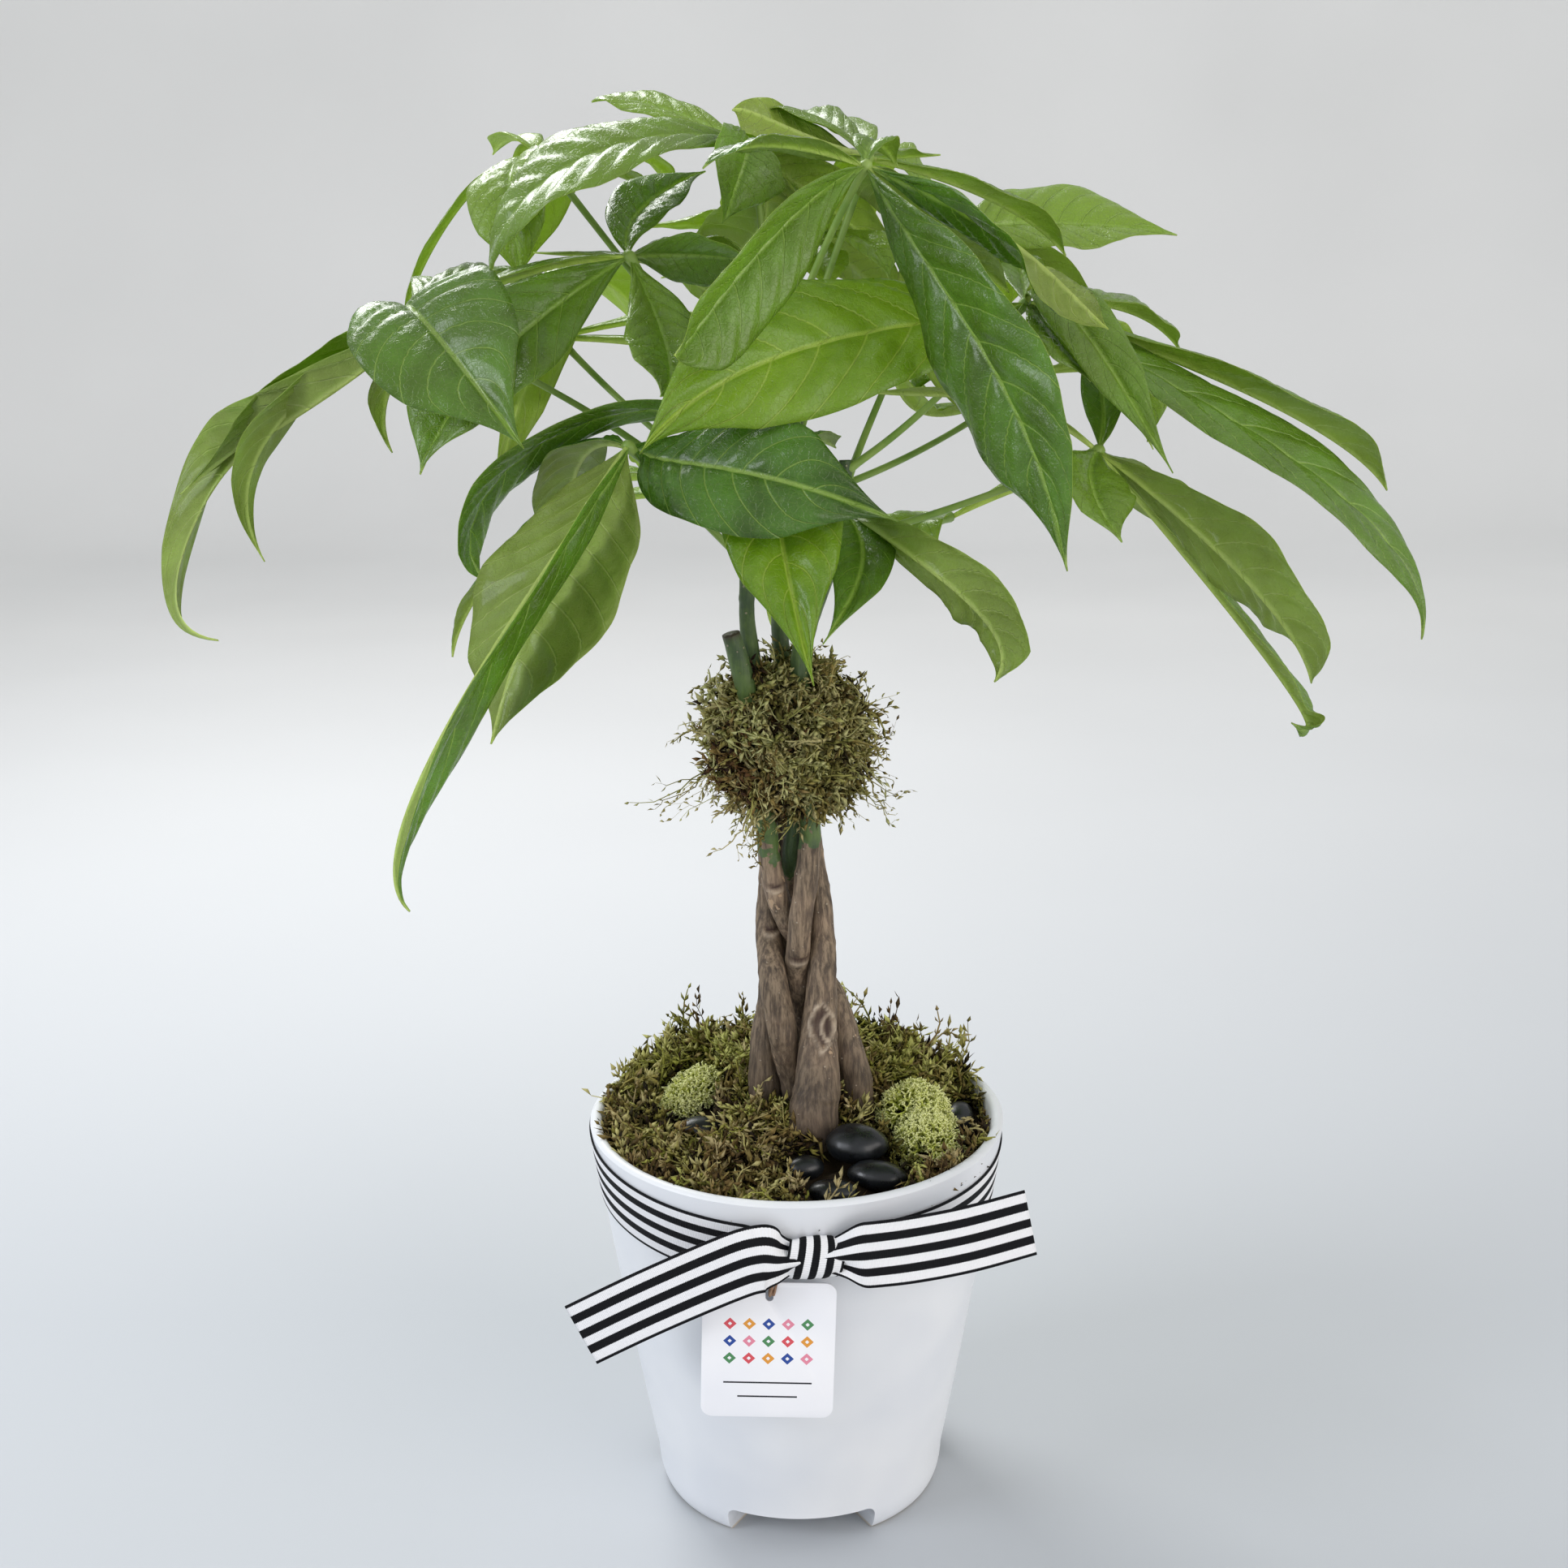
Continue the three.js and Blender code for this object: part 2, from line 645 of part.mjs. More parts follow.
// Tails of the knot: middle line of each from inside the knot to the cut end, and how far its face
// looks up.
const tails = [
  {
    route: [
      [2, -87, 144],
      [-7, -89, 145],
      [-15, -91, 146],
      [-27, -91, 142],
      [-57, -87, 126],
      [-84, -81, 109],
    ],
    lookUp: 0.3,
  },
  {
    route: [
      [8, -87, 144],
      [18, -89, 146],
      [28, -90, 147],
      [43, -89, 148],
      [64, -85, 150],
      [88, -78, 153],
    ],
    lookUp: 0.2,
  },
];

function makeTail({ route, lookUp }) {
  const curve = new THREE.CatmullRomCurve3(route.map(([x, y, z]) => new THREE.Vector3(x, y, z)));
  const steps = 10;
  const rings = [];
  for (let i = 0; i <= steps; i += 1) {
    const t = i / steps;
    const ahead = curve.getTangent(t);
    const across = new THREE.Vector3(0, -1, lookUp).cross(ahead).normalize();
    const out = ahead.clone().cross(across);
    const width = THREE.MathUtils.lerp(10, ribbon.width, Math.min(1, t * 2.8));
    rings.push(stripSection(curve.getPoint(t), across, out, width));
  }
  return skinOverRings(rings, curve.getPoint(0), curve.getPoint(1));
}

function makeRibbon() {
  const ball = new THREE.SphereGeometry(1, 10, 7);
  ball.scale(...knot.half);
  ball.translate(...knot.at);
  return joined([makeBand(), toSolid(ball), ...tails.map(makeTail)]);
}

// The card hangs upright just clear of the wall: middle of its top edge, and its small tilt.
const tagPlace = { at: [-11.2, -84.3, 132.8], tilt: -2 };

function makeTag() {
  const half = tag.width / 2;
  const inner = half - tag.corner;
  const outline = new THREE.Shape();
  outline.moveTo(-inner, -tag.height);
  outline.absarc(inner, tag.corner - tag.height, tag.corner, -Math.PI / 2, 0);
  outline.absarc(inner, -tag.corner, tag.corner, 0, Math.PI / 2);
  outline.absarc(-inner, -tag.corner, tag.corner, Math.PI / 2, Math.PI);
  outline.absarc(-inner, tag.corner - tag.height, tag.corner, Math.PI, 1.5 * Math.PI);
  const end = tag.slotWidth / 2;
  const slot = new THREE.Path();
  slot.absarc(0, -2 - end, end, 0, Math.PI);
  slot.absarc(0, -2 - tag.slotHeight + end, end, Math.PI, 2 * Math.PI);
  outline.holes.push(slot);
  const card = new THREE.ExtrudeGeometry(outline, {
    depth: tag.thickness,
    bevelEnabled: false,
    curveSegments: 4,
  });
  card.rotateZ(THREE.MathUtils.degToRad(tagPlace.tilt));
  card.rotateX(Math.PI / 2);
  card.translate(...tagPlace.at);
  return toSolid(card);
}

// Raffia from behind the knot, through the slot of the card and back up.
const tie = {
  radius: 0.6,
  route: [
    [-7.7, -84.2, 139.8],
    [-9.2, -86, 134.3],
    [-10.2, -86.4, 130.3],
    [-10.7, -84.9, 127.4],
    [-10.7, -83.3, 129.3],
    [-9.7, -83.2, 133.8],
    [-6.7, -83.2, 138.8],
  ],
};

function makeTie() {
  const curve = new THREE.CatmullRomCurve3(tie.route.map(([x, y, z]) => new THREE.Vector3(x, y, z)));
  const points = [];
  for (let i = 0; i <= 14; i += 1) points.push(curve.getPoint(i / 14));
  return tube(points, points.map(() => tie.radius), 6);
}

// Each palmate leaf: the hub where its leaflets meet, the bends of its stalk, and the stem and height
// that the stalk grows from. Each leaflet is given from the hub: the bends and the tip of its midrib,
// its blade's width, its roll at foot and tip (degrees) and the fold along its midrib (degrees, 14 where
// none is given).
const leaves = {
  leaf_top_front: {
    hub: [28, -25, 539],
    stalk: [[17, -18, 519], [4, -5, 497]],
    foot: ['stem_2', 428],
    leaflets: [
      { bends: [[22, -47, -40], [55, -63, -73]], tip: [65, -73, -132], width: 51, roll: [95, 85], fold: 2 },
      { bends: [[-30, -42, -8], [-69, -51, -65]],
        tip: [-66, -65, -59], width: 39, roll: [-95, -100], fold: 32 },
      { bends: [[-42, -12, 15]], tip: [-57, -23, 0], width: 25, roll: [30, -5], fold: 2 },
      { bends: [[1, 11, 16]], tip: [12, 14, -1], width: 18 },
      { bends: [[53, -8, -21], [67, -22, -42]], tip: [84, -22, -56], width: 40, roll: [120, 225], fold: 4 },
      { bends: [[34, 15, -29]], tip: [54, 25, -46], width: 28 },
      { bends: [[3, 18, -5]], tip: [19, 35, -25], width: 24 },
    ],
  },
  leaf_top_back: {
    hub: [30, 10, 542],
    stalk: [[21, 8, 511], [3, 7, 481]],
    foot: ['stem_4', 430],
    leaflets: [
      { bends: [[-26, 25, 6], [-45, 18, 20]], tip: [-50, 20, 17], width: 31, roll: [170, 160], fold: 2 },
      { bends: [[-2, 22, 11]], tip: [-19, 51, 13], width: 20 },
      { bends: [[-13, 23, -2]], tip: [30, 46, 0], width: 26 },
      { bends: [[57, 8, -14]], tip: [78, 33, -38], width: 28 },
      { bends: [[-26, 45, 29]], tip: [-48, 62, -3], width: 30 },
    ],
  },
  leaf_right_upper: {
    hub: [88, 1, 489],
    stalk: [[52, 0, 447]],
    foot: ['stem_3', 428],
    lime: true,
    leaflets: [
      { bends: [[-19, -28, -8], [-102, -65, 4]],
        tip: [-140, -75, -44], width: 54, roll: [-10, -75], fold: 2 },
      { bends: [[5, 48, 7]], tip: [2, 61, 17], width: 18 },
      { bends: [[5, -17, 16]], tip: [31, 70, -12], width: 16 },
      { bends: [[125, 12, -44]], tip: [142, 11, -73], width: 39, roll: [0, -10] },
      { bends: [[16, -9, -15], [153, -22, -67]],
        tip: [149, -24, -124], width: 45, roll: [10, 20], fold: 2 },
      { bends: [[11, -17, -12]], tip: [21, -29, -26], width: 30 },
      { bends: [[6, -8, 22]], tip: [49, -46, -57], width: 25, roll: [15, 35], fold: 13 },
      { bends: [[49, 36, 2]], tip: [70, 65, -24], width: 27, roll: [-10, 40] },
    ],
  },
  leaf_left_outer: {
    hub: [-139, -15, 487],
    stalk: [[-97, 0, 465], [-53, 5, 442]],
    foot: ['stem_2', 403],
    leaflets: [
      { bends: [[23, -16, 4], [-132, 29, -98], [-27, 82, 2], [-152, 53, -122]],
        tip: [-73, -21, -114], width: 36, roll: [5, 85], fold: 65 },
      { bends: [[-4, 24, -9], [-91, 22, -38]], tip: [-67, 35, -95], width: 25, roll: [-10, -5], fold: 8 },
      { bends: [[-3, -18, 21]], tip: [47, -56, -40], width: 60, roll: [10, 40], fold: 11 },
      { bends: [[22, 51, 28]], tip: [2, 66, -28], width: 35 },
      { bends: [[28, 41, 30]], tip: [53, 54, -8], width: 30 },
      { bends: [[-16, 30, -7]], tip: [-101, 47, -70], width: 31 },
    ],
  },
  leaf_left_upper: {
    hub: [-58, -5, 508],
    stalk: [[-40, -11, 481], [-13, 16, 437]],
    foot: ['stem_2', 420],
    leaflets: [
      { bends: [[-62, -17, 1], [-109, 28, -46]], tip: [-94, 17, -73], width: 26 },
      { bends: [[-58, -33, -33]], tip: [-73, -49, -72], width: 47, roll: [-65, -5], fold: 13 },
      { bends: [[-7, 26, 16]], tip: [27, 51, 29], width: 26 },
      { bends: [[23, 17, 1]], tip: [53, 6, -3], width: 25, roll: [90, 165], fold: 15 },
      { bends: [[23, -31, -43]], tip: [13, -54, -45], width: 37, roll: [10, -10], fold: 13 },
      { bends: [[3, 22, -2]], tip: [-39, 38, 0], width: 10 },
      { bends: [[31, 52, -12]], tip: [44, 47, -33], width: 35 },
      { bends: [[30, 48, 7]], tip: [48, 16, -13], width: 28 },
    ],
  },
  leaf_front_low: {
    hub: [-57, -54, 445],
    stalk: [[-33, -30, 415]],
    foot: ['stem_2', 393],
    leaflets: [
      { bends: [[10, 16, -12], [36, -37, 4]], tip: [94, -22, -24], width: 50, roll: [25, 90], fold: 3 },
      { bends: [[-4, -74, -9], [-95, -93, -115]],
        tip: [-68, -106, -135], width: 31, roll: [-95, -120], fold: 15 },
      { bends: [[-30, -52, -36]], tip: [-45, -63, -91], width: 73, roll: [175, 205], fold: 2 },
      { bends: [[-62, 3, -45]], tip: [-66, -1, -75], width: 22 },
      { bends: [[-27, 14, 9]], tip: [-29, 72, -62], width: 30 },
    ],
  },
  leaf_front_middle: {
    hub: [-10, -30, 438],
    stalk: [],
    foot: ['stem_2', 412],
    lime: true,
    leaflets: [
      { bends: [[8, -10, -14], [0, -38, -5]], tip: [17, -71, -69], width: 46, roll: [0, 15], fold: 15 },
      { bends: [[-35, -5, 46], [-127, -6, -1], [-111, -3, -38]],
        tip: [-104, 1, -45], width: 30, roll: [-140, -170], fold: 5 },
      { bends: [[15, 18, 8]], tip: [28, 49, -4], width: 22 },
    ],
  },
  leaf_right_low: {
    hub: [115, -12, 436],
    stalk: [[80, -12, 421], [47, -8, 409]],
    foot: ['stem_3', 402],
    leaflets: [
      { bends: [[61, -74, -44]], tip: [72, -49, -78], width: 47, roll: [-80, -45], fold: 9 },
      { bends: [[104, -10, -120]], tip: [73, -18, -101], width: 24 },
      { bends: [[-13, -29, -7]], tip: [3, -43, -27], width: 31, roll: [-30, -35] },
      { bends: [[-34, -8, 28], [-58, -9, 20]], tip: [-88, -11, 24], width: 14, roll: [10, 20] },
      { bends: [[8, 22, 13]], tip: [0, 38, 35], width: 16 },
      { bends: [[5, 65, -19]], tip: [84, 92, -61], width: 33 },
      { bends: [[-4, 22, -18]], tip: [-32, 45, -20], width: 30 },
    ],
  },
  leaf_right_short: {
    hub: [21.5, -17.5, 416],
    stalk: [],
    foot: ['stem_3', 409],
    leaflets: [
      { bends: [[28, -89, -8], [62, -56, -35]], tip: [49, -65, -51], width: 40, roll: [-75, -70], fold: 6 },
      { bends: [[-1, -17, -4], [16, -27, -9]], tip: [-11, -68, -36], width: 24 },
    ],
  },
  leaf_top_left: {
    hub: [-14, 16, 547],
    stalk: [[-9, 34, 531], [-10, 24, 482]],
    foot: ['stem_4', 446],
    leaflets: [
      { bends: [[-47, 29, 21]], tip: [-60, 32, 16], width: 24, roll: [-30, 0], fold: 4 },
      { bends: [[-35, -25, 10], [-88, -30, -6]],
        tip: [-94, -29, -46], width: 54, roll: [-25, -5], fold: 2 },
      { bends: [[2, -16, 2]], tip: [-10, -16, -28], width: 36, roll: [-30, -65] },
      { bends: [[-19, 48, -3]], tip: [30, 56, -12], width: 16 },
      { bends: [[23, 40, -42]], tip: [-38, 87, -53], width: 37 },
      { bends: [[2, 49, -5]], tip: [67, 31, -51], width: 33 },
    ],
  },
  leaf_far_left_top: {
    hub: [-92, 46, 541],
    stalk: [[-71, 35, 514], [-41, 25, 478]],
    foot: ['stem_4', 422],
    leaflets: [
      { bends: [[-18, -17, 6], [-9, -48, -9]], tip: [-7, -41, -44], width: 34, roll: [25, -5], fold: 8 },
      { bends: [[-12, 12, 16]], tip: [-25, 37, 3], width: 18 },
      { bends: [[34, 11, -3]], tip: [38, 28, -14], width: 16 },
      { bends: [[44, 31, 10]], tip: [45, 53, -14], width: 14 },
      { bends: [[-25, -2, 13], [-59, -2, -50]], tip: [-58, 7, -58], width: 14 },
      { bends: [[8, 36, 23]], tip: [-24, 57, -54], width: 30 },
    ],
  },
  leaf_rear_right: {
    hub: [64, 56, 513],
    stalk: [[51, 45, 481], [24, 15, 432]],
    foot: ['stem_3', 420],
    leaflets: [
      { bends: [[39, 27, 5]], tip: [92, 16, -3], width: 45, roll: [45, 20], fold: 9 },
      { bends: [[31, 55, 19]], tip: [18, 97, -57], width: 42 },
      { bends: [[-14, 14, 4]], tip: [24, 25, -96], width: 39 },
      { bends: [[-37, 15, 65]], tip: [-32, 49, -19], width: 33 },
      { bends: [[14, 56, -4]], tip: [75, 18, -43], width: 37 },
    ],
  },
  leaf_rear_middle: {
    hub: [10, 60, 512],
    stalk: [[23, 45, 486]],
    foot: ['stem_4', 438],
    leaflets: [
      { bends: [[-20, 48, 5]], tip: [-69, 24, 3], width: 31, roll: [45, 10], fold: 3 },
      { bends: [[2, -20, -9]], tip: [6, -45, -17], width: 22 },
      { bends: [[24, -43, 4]], tip: [28, -46, -14], width: 22 },
      { bends: [[-9, 45, 12]], tip: [34, 29, -28], width: 32 },
      { bends: [[-10, 56, 23]], tip: [-39, 75, -1], width: 35 },
      { bends: [[13, 32, -8]], tip: [41, 16, -36], width: 30 },
    ],
  },
  leaf_back_left: {
    hub: [-94, 83, 472],
    stalk: [[-48, 48, 427]],
    foot: ['stem_4', 406],
    leaflets: [
      { bends: [[99, -1, -3]], tip: [81, -19, -49], width: 26 },
      { bends: [[98, 32, 21]], tip: [46, 17, -39], width: 30 },
      { bends: [[-9, 106, 62]], tip: [69, 81, -48], width: 35 },
      { bends: [[-30, 35, 1]], tip: [-57, 64, -48], width: 38 },
      { bends: [[-38, 29, -13]], tip: [-51, 20, -34], width: 38 },
      { bends: [[3, -55, 29]], tip: [-40, 4, -37], width: 29 },
      { bends: [[4, 14, 41]], tip: [-27, -35, -66], width: 27 },
    ],
  },
  leaf_back_right: {
    hub: [105, 90, 455],
    stalk: [[53, 52, 422]],
    foot: ['stem_4', 414],
    leaflets: [
      { bends: [[-18, -35, -3]], tip: [5, -50, -62], width: 27 },
      { bends: [[42, -55, 18]], tip: [38, -42, -24], width: 31 },
      { bends: [[54, -13, 7]], tip: [74, -14, -24], width: 34 },
      { bends: [[8, 32, 47]], tip: [63, 91, -45], width: 41 },
      { bends: [[-24, 55, 21]], tip: [-9, 73, -47], width: 34 },
      { bends: [[-60, 13, 5]], tip: [-44, 2, -3], width: 33 },
      { bends: [[-63, 18, -43]], tip: [-64, -27, 19], width: 27 },
    ],
  },
  leaf_back_top: {
    hub: [8, 137, 479],
    stalk: [[14, 77, 468]],
    foot: ['stem_4', 453],
    leaflets: [
      { bends: [[29, 4, 1]], tip: [27, -41, -11], width: 23 },
      { bends: [[13, 0, 2]], tip: [54, -5, -37], width: 28 },
      { bends: [[38, 15, 12]], tip: [70, 54, -44], width: 34 },
      { bends: [[-31, 49, 20]], tip: [-7, 75, -73], width: 39 },
      { bends: [[-24, 48, 1]], tip: [-29, 45, -44], width: 34 },
      { bends: [[-30, 8, 0]], tip: [-52, -3, -53], width: 30 },
      { bends: [[1, -62, 26]], tip: [-42, -68, -11], width: 26 },
    ],
  },
  leaf_back_low_left: {
    hub: [-47, 117, 401],
    stalk: [[-25, 65, 383]],
    foot: ['stem_4', 389],
    leaflets: [
      { bends: [[18, -2, 10]], tip: [30, 8, -55], width: 26 },
      { bends: [[41, 26, 12]], tip: [52, 39, -57], width: 33 },
      { bends: [[-11, 55, 19]], tip: [-1, 100, -19], width: 38 },
      { bends: [[-66, 39, 1]], tip: [-70, 60, -78], width: 42 },
      { bends: [[-33, -12, 30]], tip: [-61, -15, -42], width: 34 },
      { bends: [[-18, -35, 27]], tip: [9, -61, 13], width: 28 },
    ],
  },
  leaf_back_low_right: {
    hub: [70, 120, 390],
    stalk: [[34, 67, 382]],
    foot: ['stem_4', 398],
    leaflets: [
      { bends: [[-28, -50, 9]], tip: [-9, -4, -20], width: 28 },
      { bends: [[78, -35, 47]], tip: [100, -24, -13], width: 32 },
      { bends: [[87, 43, 31]], tip: [80, 60, -6], width: 40 },
      { bends: [[-16, 69, -9]], tip: [-69, 88, -48], width: 39 },
      { bends: [[-103, -24, -15]], tip: [-61, 26, -58], width: 33 },
      { bends: [[-67, 18, -21]], tip: [-50, 19, -27], width: 27 },
    ],
  },
};

// ---------------------------------------------------------------- assembly
const plant = new THREE.Group();
const stems = Object.fromEntries(Object.entries(stemRoutes).map(([name, route]) => [name, makeStem(route)]));
const stemRoom = Object.values(stemRoutes).map((route) => makeStem(route, gap));

function clearOfStems(solid) {
  return stemRoom.reduce((rest, room) => rest.subtract(room), solid);
}

function largestBody(solid) {
  return solid.decompose().sort((a, b) => b.volume() - a.volume())[0];
}

addPiece(plant, 'pot', makePot(), whiteGlaze);
addPiece(plant, 'soil', clearOfStems(makeSoil()), darkSoil);

let bed = clearOfStems(makeMossBed());
for (const stone of Object.values(pebbles)) bed = bed.subtract(makePebble(stone, gap));
for (const clump of Object.values(lichens)) bed = bed.subtract(makeLichenCore(clump, gap));
for (const [name, clump] of Object.entries(lichens)) {
  const solid = makeLichen(clump);
  addPiece(plant, name, solid, reindeerMoss);
  bed = bed.subtract(solid);
}
addPiece(plant, 'moss_bed', largestBody(bed), sphagnum);
for (const [name, stone] of Object.entries(pebbles)) addPiece(plant, name, makePebble(stone), blackPebble);
for (const [name, solid] of Object.entries(stems)) addPiece(plant, name, solid, bark);
addPiece(plant, 'moss_collar', largestBody(clearOfStems(makeCollar())), sphagnum);
for (const [name, leaf] of Object.entries(leaves)) {
  addPiece(plant, name, largestBody(clearOfStems(makeLeaf(leaf))), leaf.lime ? limeGreen : leafGreen);
}
addPiece(plant, 'ribbon', makeRibbon(), wovenRibbon);
addPiece(plant, 'tag', makeTag(), whiteCard);
addPiece(plant, 'tag_tie', makeTie(), raffia);

// The feet stand on z = 0, and the origin lies under the middle of the whole part's outline.
const bounds = new THREE.Box3().setFromObject(plant);
const middle = bounds.getCenter(new THREE.Vector3());
plant.position.set(-middle.x, -middle.y, -bounds.min.z);

export default plant;
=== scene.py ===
import functools
import json
import math
import random

import bpy
import numpy as np
from mathutils import Matrix, Vector, noise

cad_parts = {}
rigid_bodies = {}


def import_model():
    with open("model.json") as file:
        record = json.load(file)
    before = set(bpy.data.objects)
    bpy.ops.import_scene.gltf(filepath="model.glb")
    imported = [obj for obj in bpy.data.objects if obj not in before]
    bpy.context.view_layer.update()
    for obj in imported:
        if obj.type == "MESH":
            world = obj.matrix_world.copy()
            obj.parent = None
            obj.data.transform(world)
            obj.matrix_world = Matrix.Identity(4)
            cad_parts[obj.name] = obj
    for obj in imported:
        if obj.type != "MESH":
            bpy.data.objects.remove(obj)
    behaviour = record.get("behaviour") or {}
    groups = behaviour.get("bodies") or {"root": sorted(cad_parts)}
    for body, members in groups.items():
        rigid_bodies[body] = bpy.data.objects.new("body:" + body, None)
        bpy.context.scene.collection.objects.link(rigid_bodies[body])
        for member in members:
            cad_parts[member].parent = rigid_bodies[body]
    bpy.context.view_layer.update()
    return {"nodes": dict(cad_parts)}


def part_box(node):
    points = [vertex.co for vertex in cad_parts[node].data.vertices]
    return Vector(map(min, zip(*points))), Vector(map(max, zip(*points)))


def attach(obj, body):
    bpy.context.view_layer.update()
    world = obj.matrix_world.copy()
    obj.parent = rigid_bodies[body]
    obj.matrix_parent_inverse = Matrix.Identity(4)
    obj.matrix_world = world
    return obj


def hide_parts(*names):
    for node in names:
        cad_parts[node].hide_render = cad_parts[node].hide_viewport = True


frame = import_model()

mm = 0.001
potLow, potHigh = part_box("pot")
potAxis = np.array([(potLow.x + potHigh.x) / 2, (potLow.y + potHigh.y) / 2, 0])


def fromPot(x, y, z):  # a place in mm from the pot's axis and the table
    return Vector(potAxis + np.array([x, y, z]) * mm)


# a camera held 0.83 m in front of the pot and looking down on it
eye = {"right": -3.6, "front": -828.9, "height": 547, "lookDown": 16.3, "roll": -0.68, "lens": 50.31}
cameraData = bpy.data.cameras.new("camera")
cameraData.sensor_width = 36
cameraData.lens = eye["lens"]
cameraData.clip_start = 0.02
camera = bpy.data.objects.new("camera", cameraData)
bpy.context.collection.objects.link(camera)
stand = Matrix.Translation(fromPot(eye["right"], eye["front"], eye["height"]))
lookDown = Matrix.Rotation(math.radians(90 - eye["lookDown"]), 4, "X")
camera.matrix_world = stand @ lookDown @ Matrix.Rotation(math.radians(eye["roll"]), 4, "Z")
bpy.context.scene.camera = camera
print("camera set")


def hexColour(text):  # sRGB hex to the linear colour that a shader wants
    channels = [int(text[i:i + 2], 16) / 255 for i in (1, 3, 5)]
    return [c / 12.92 if c <= 0.04045 else ((c + 0.055) / 1.055) ** 2.4 for c in channels] + [1]


def addNode(tree, kind, inputs=None, out=0, stops=None, **settings):  # a node, its settings and its links
    node = tree.nodes.new("ShaderNode" + kind)
    if kind == "Mix":  # colours are mixed throughout
        settings, out = {"data_type": "RGBA"}, 2
    for key, value in settings.items():
        setattr(node, key, value)
    if stops:
        ramp = node.color_ramp.elements
        ramp.remove(ramp[1])
        ramp[0].position, ramp[0].color = stops[0][0], hexColour(stops[0][1])
        for place, colour in stops[1:]:
            ramp.new(place).color = hexColour(colour)
    for key, value in (inputs or {}).items():
        if isinstance(value, bpy.types.NodeSocket):
            tree.links.new(value, node.inputs[key])
        else:
            node.inputs[key].default_value = hexColour(value) if isinstance(value, str) else value
    return node.outputs[out] if len(node.outputs) else node


def newMaterial(name):
    material = bpy.data.materials.new(name)
    material.use_nodes = True
    material.node_tree.nodes.clear()
    return material, functools.partial(addNode, material.node_tree)


def perMetre(size):  # how often a pattern of that many mm repeats in a metre
    return 1 / (size * mm)


def deselectAll():
    for other in bpy.context.view_layer.objects:
        other.select_set(False)


def meshObject(name, points, faces, slots=None):  # points in mm from the pot's axis
    mesh = bpy.data.meshes.new(name)
    points = np.asarray(points, float) * mm + potAxis
    mesh.from_pydata(points.tolist(), [], faces)
    mesh.shade_smooth()
    if slots is not None:
        mesh.polygons.foreach_set("material_index", slots)
    made = bpy.data.objects.new(name, mesh)
    bpy.context.collection.objects.link(made)
    return made


def addAttribute(made, name, values):
    made.data.attributes.new(name, "FLOAT", "POINT").data.foreach_set("value", np.asarray(values, np.float32))


def finishPiece(made, materials, nodes):
    for material in materials:
        made.data.materials.append(material)
    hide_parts(*nodes)
    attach(made, "root")
    return made


def bevelEdges(made, chosen, radius, segments):  # rounds the edges whose two ends are chosen
    bpy.context.view_layer.objects.active = made
    bpy.ops.object.mode_set(mode="EDIT")
    bpy.ops.mesh.select_mode(type="EDGE")
    bpy.ops.mesh.select_all(action="DESELECT")
    bpy.ops.object.mode_set(mode="OBJECT")
    for edge in made.data.edges:
        edge.select = chosen(*(made.data.vertices[k].co for k in edge.vertices))
    bpy.ops.object.mode_set(mode="EDIT")
    bpy.ops.mesh.bevel(offset=radius * mm, segments=segments)
    bpy.ops.object.mode_set(mode="OBJECT")


def cutAway(made, cutter):
    bpy.context.view_layer.objects.active = made
    cut = made.modifiers.new("cut", "BOOLEAN")
    cut.operation, cut.object, cut.solver = "DIFFERENCE", cutter, "EXACT"
    bpy.ops.object.modifier_apply(modifier=cut.name)
    bpy.data.objects.remove(cutter)


def softenEdges(made, width, segments, bevelAbove, smoothBelow):  # angles in degrees
    soften = made.modifiers.new("soften", "BEVEL")
    soften.width, soften.segments = width * mm, segments
    soften.limit_method, soften.angle_limit = "ANGLE", math.radians(bevelAbove)
    deselectAll()
    made.select_set(True)
    bpy.context.view_layer.objects.active = made
    bpy.ops.object.modifier_apply(modifier=soften.name)
    bpy.ops.object.transform_apply(location=True, rotation=True, scale=True)
    bpy.ops.object.shade_smooth_by_angle(angle=math.radians(smoothBelow))


def unit(rows):
    rows = np.asarray(rows, float)
    return rows / np.maximum(np.linalg.norm(rows, axis=-1, keepdims=True), 1e-9)


def bezier(pulls, t):
    t = np.asarray(t, float)[:, None]
    level = [np.ones_like(t) * np.asarray(p, float) for p in pulls]
    while len(level) > 1:
        level = [a + (b - a) * t for a, b in zip(level, level[1:])]
    return level[0]


def smoothBetween(rows, place):  # a smooth line through the rows, read at row numbers such as 2.4
    rows = np.asarray(rows, float)
    last = len(rows) - 1
    below = np.clip(np.floor(place).astype(int), 0, last - 1)
    t = (np.asarray(place) - below)[:, None]
    a, b, c, d = (rows[np.clip(below + k, 0, last)] for k in (-1, 0, 1, 2))
    return 0.5 * (2 * b + (c - a) * t + (2 * a - 5 * b + 4 * c - d) * t**2 + (3 * b - a - 3 * c + d) * t**3)


def carriedFrames(points):  # ahead, side and up along a line, without a twist
    points = np.asarray(points, float)
    ahead = unit(np.vstack([points[1] - points[0], points[2:] - points[:-2], points[-1] - points[-2]]))
    side = np.zeros_like(ahead)
    side[0] = [-ahead[0][1], ahead[0][0], 0] if np.hypot(*ahead[0][:2]) > 1e-4 else [0, 1, 0]
    for i in range(len(points)):
        side[i] = unit(side[max(i - 1, 0)] - ahead[i] * np.dot(side[max(i - 1, 0)], ahead[i]))
    return ahead, side, np.cross(ahead, side)


def numbered(rows, columns, wrap=False):  # point numbers of a grid, with the first column again after the last
    index = np.arange(rows * columns).reshape(rows, columns)
    return np.hstack([index, index[:, :1]]) if wrap else index


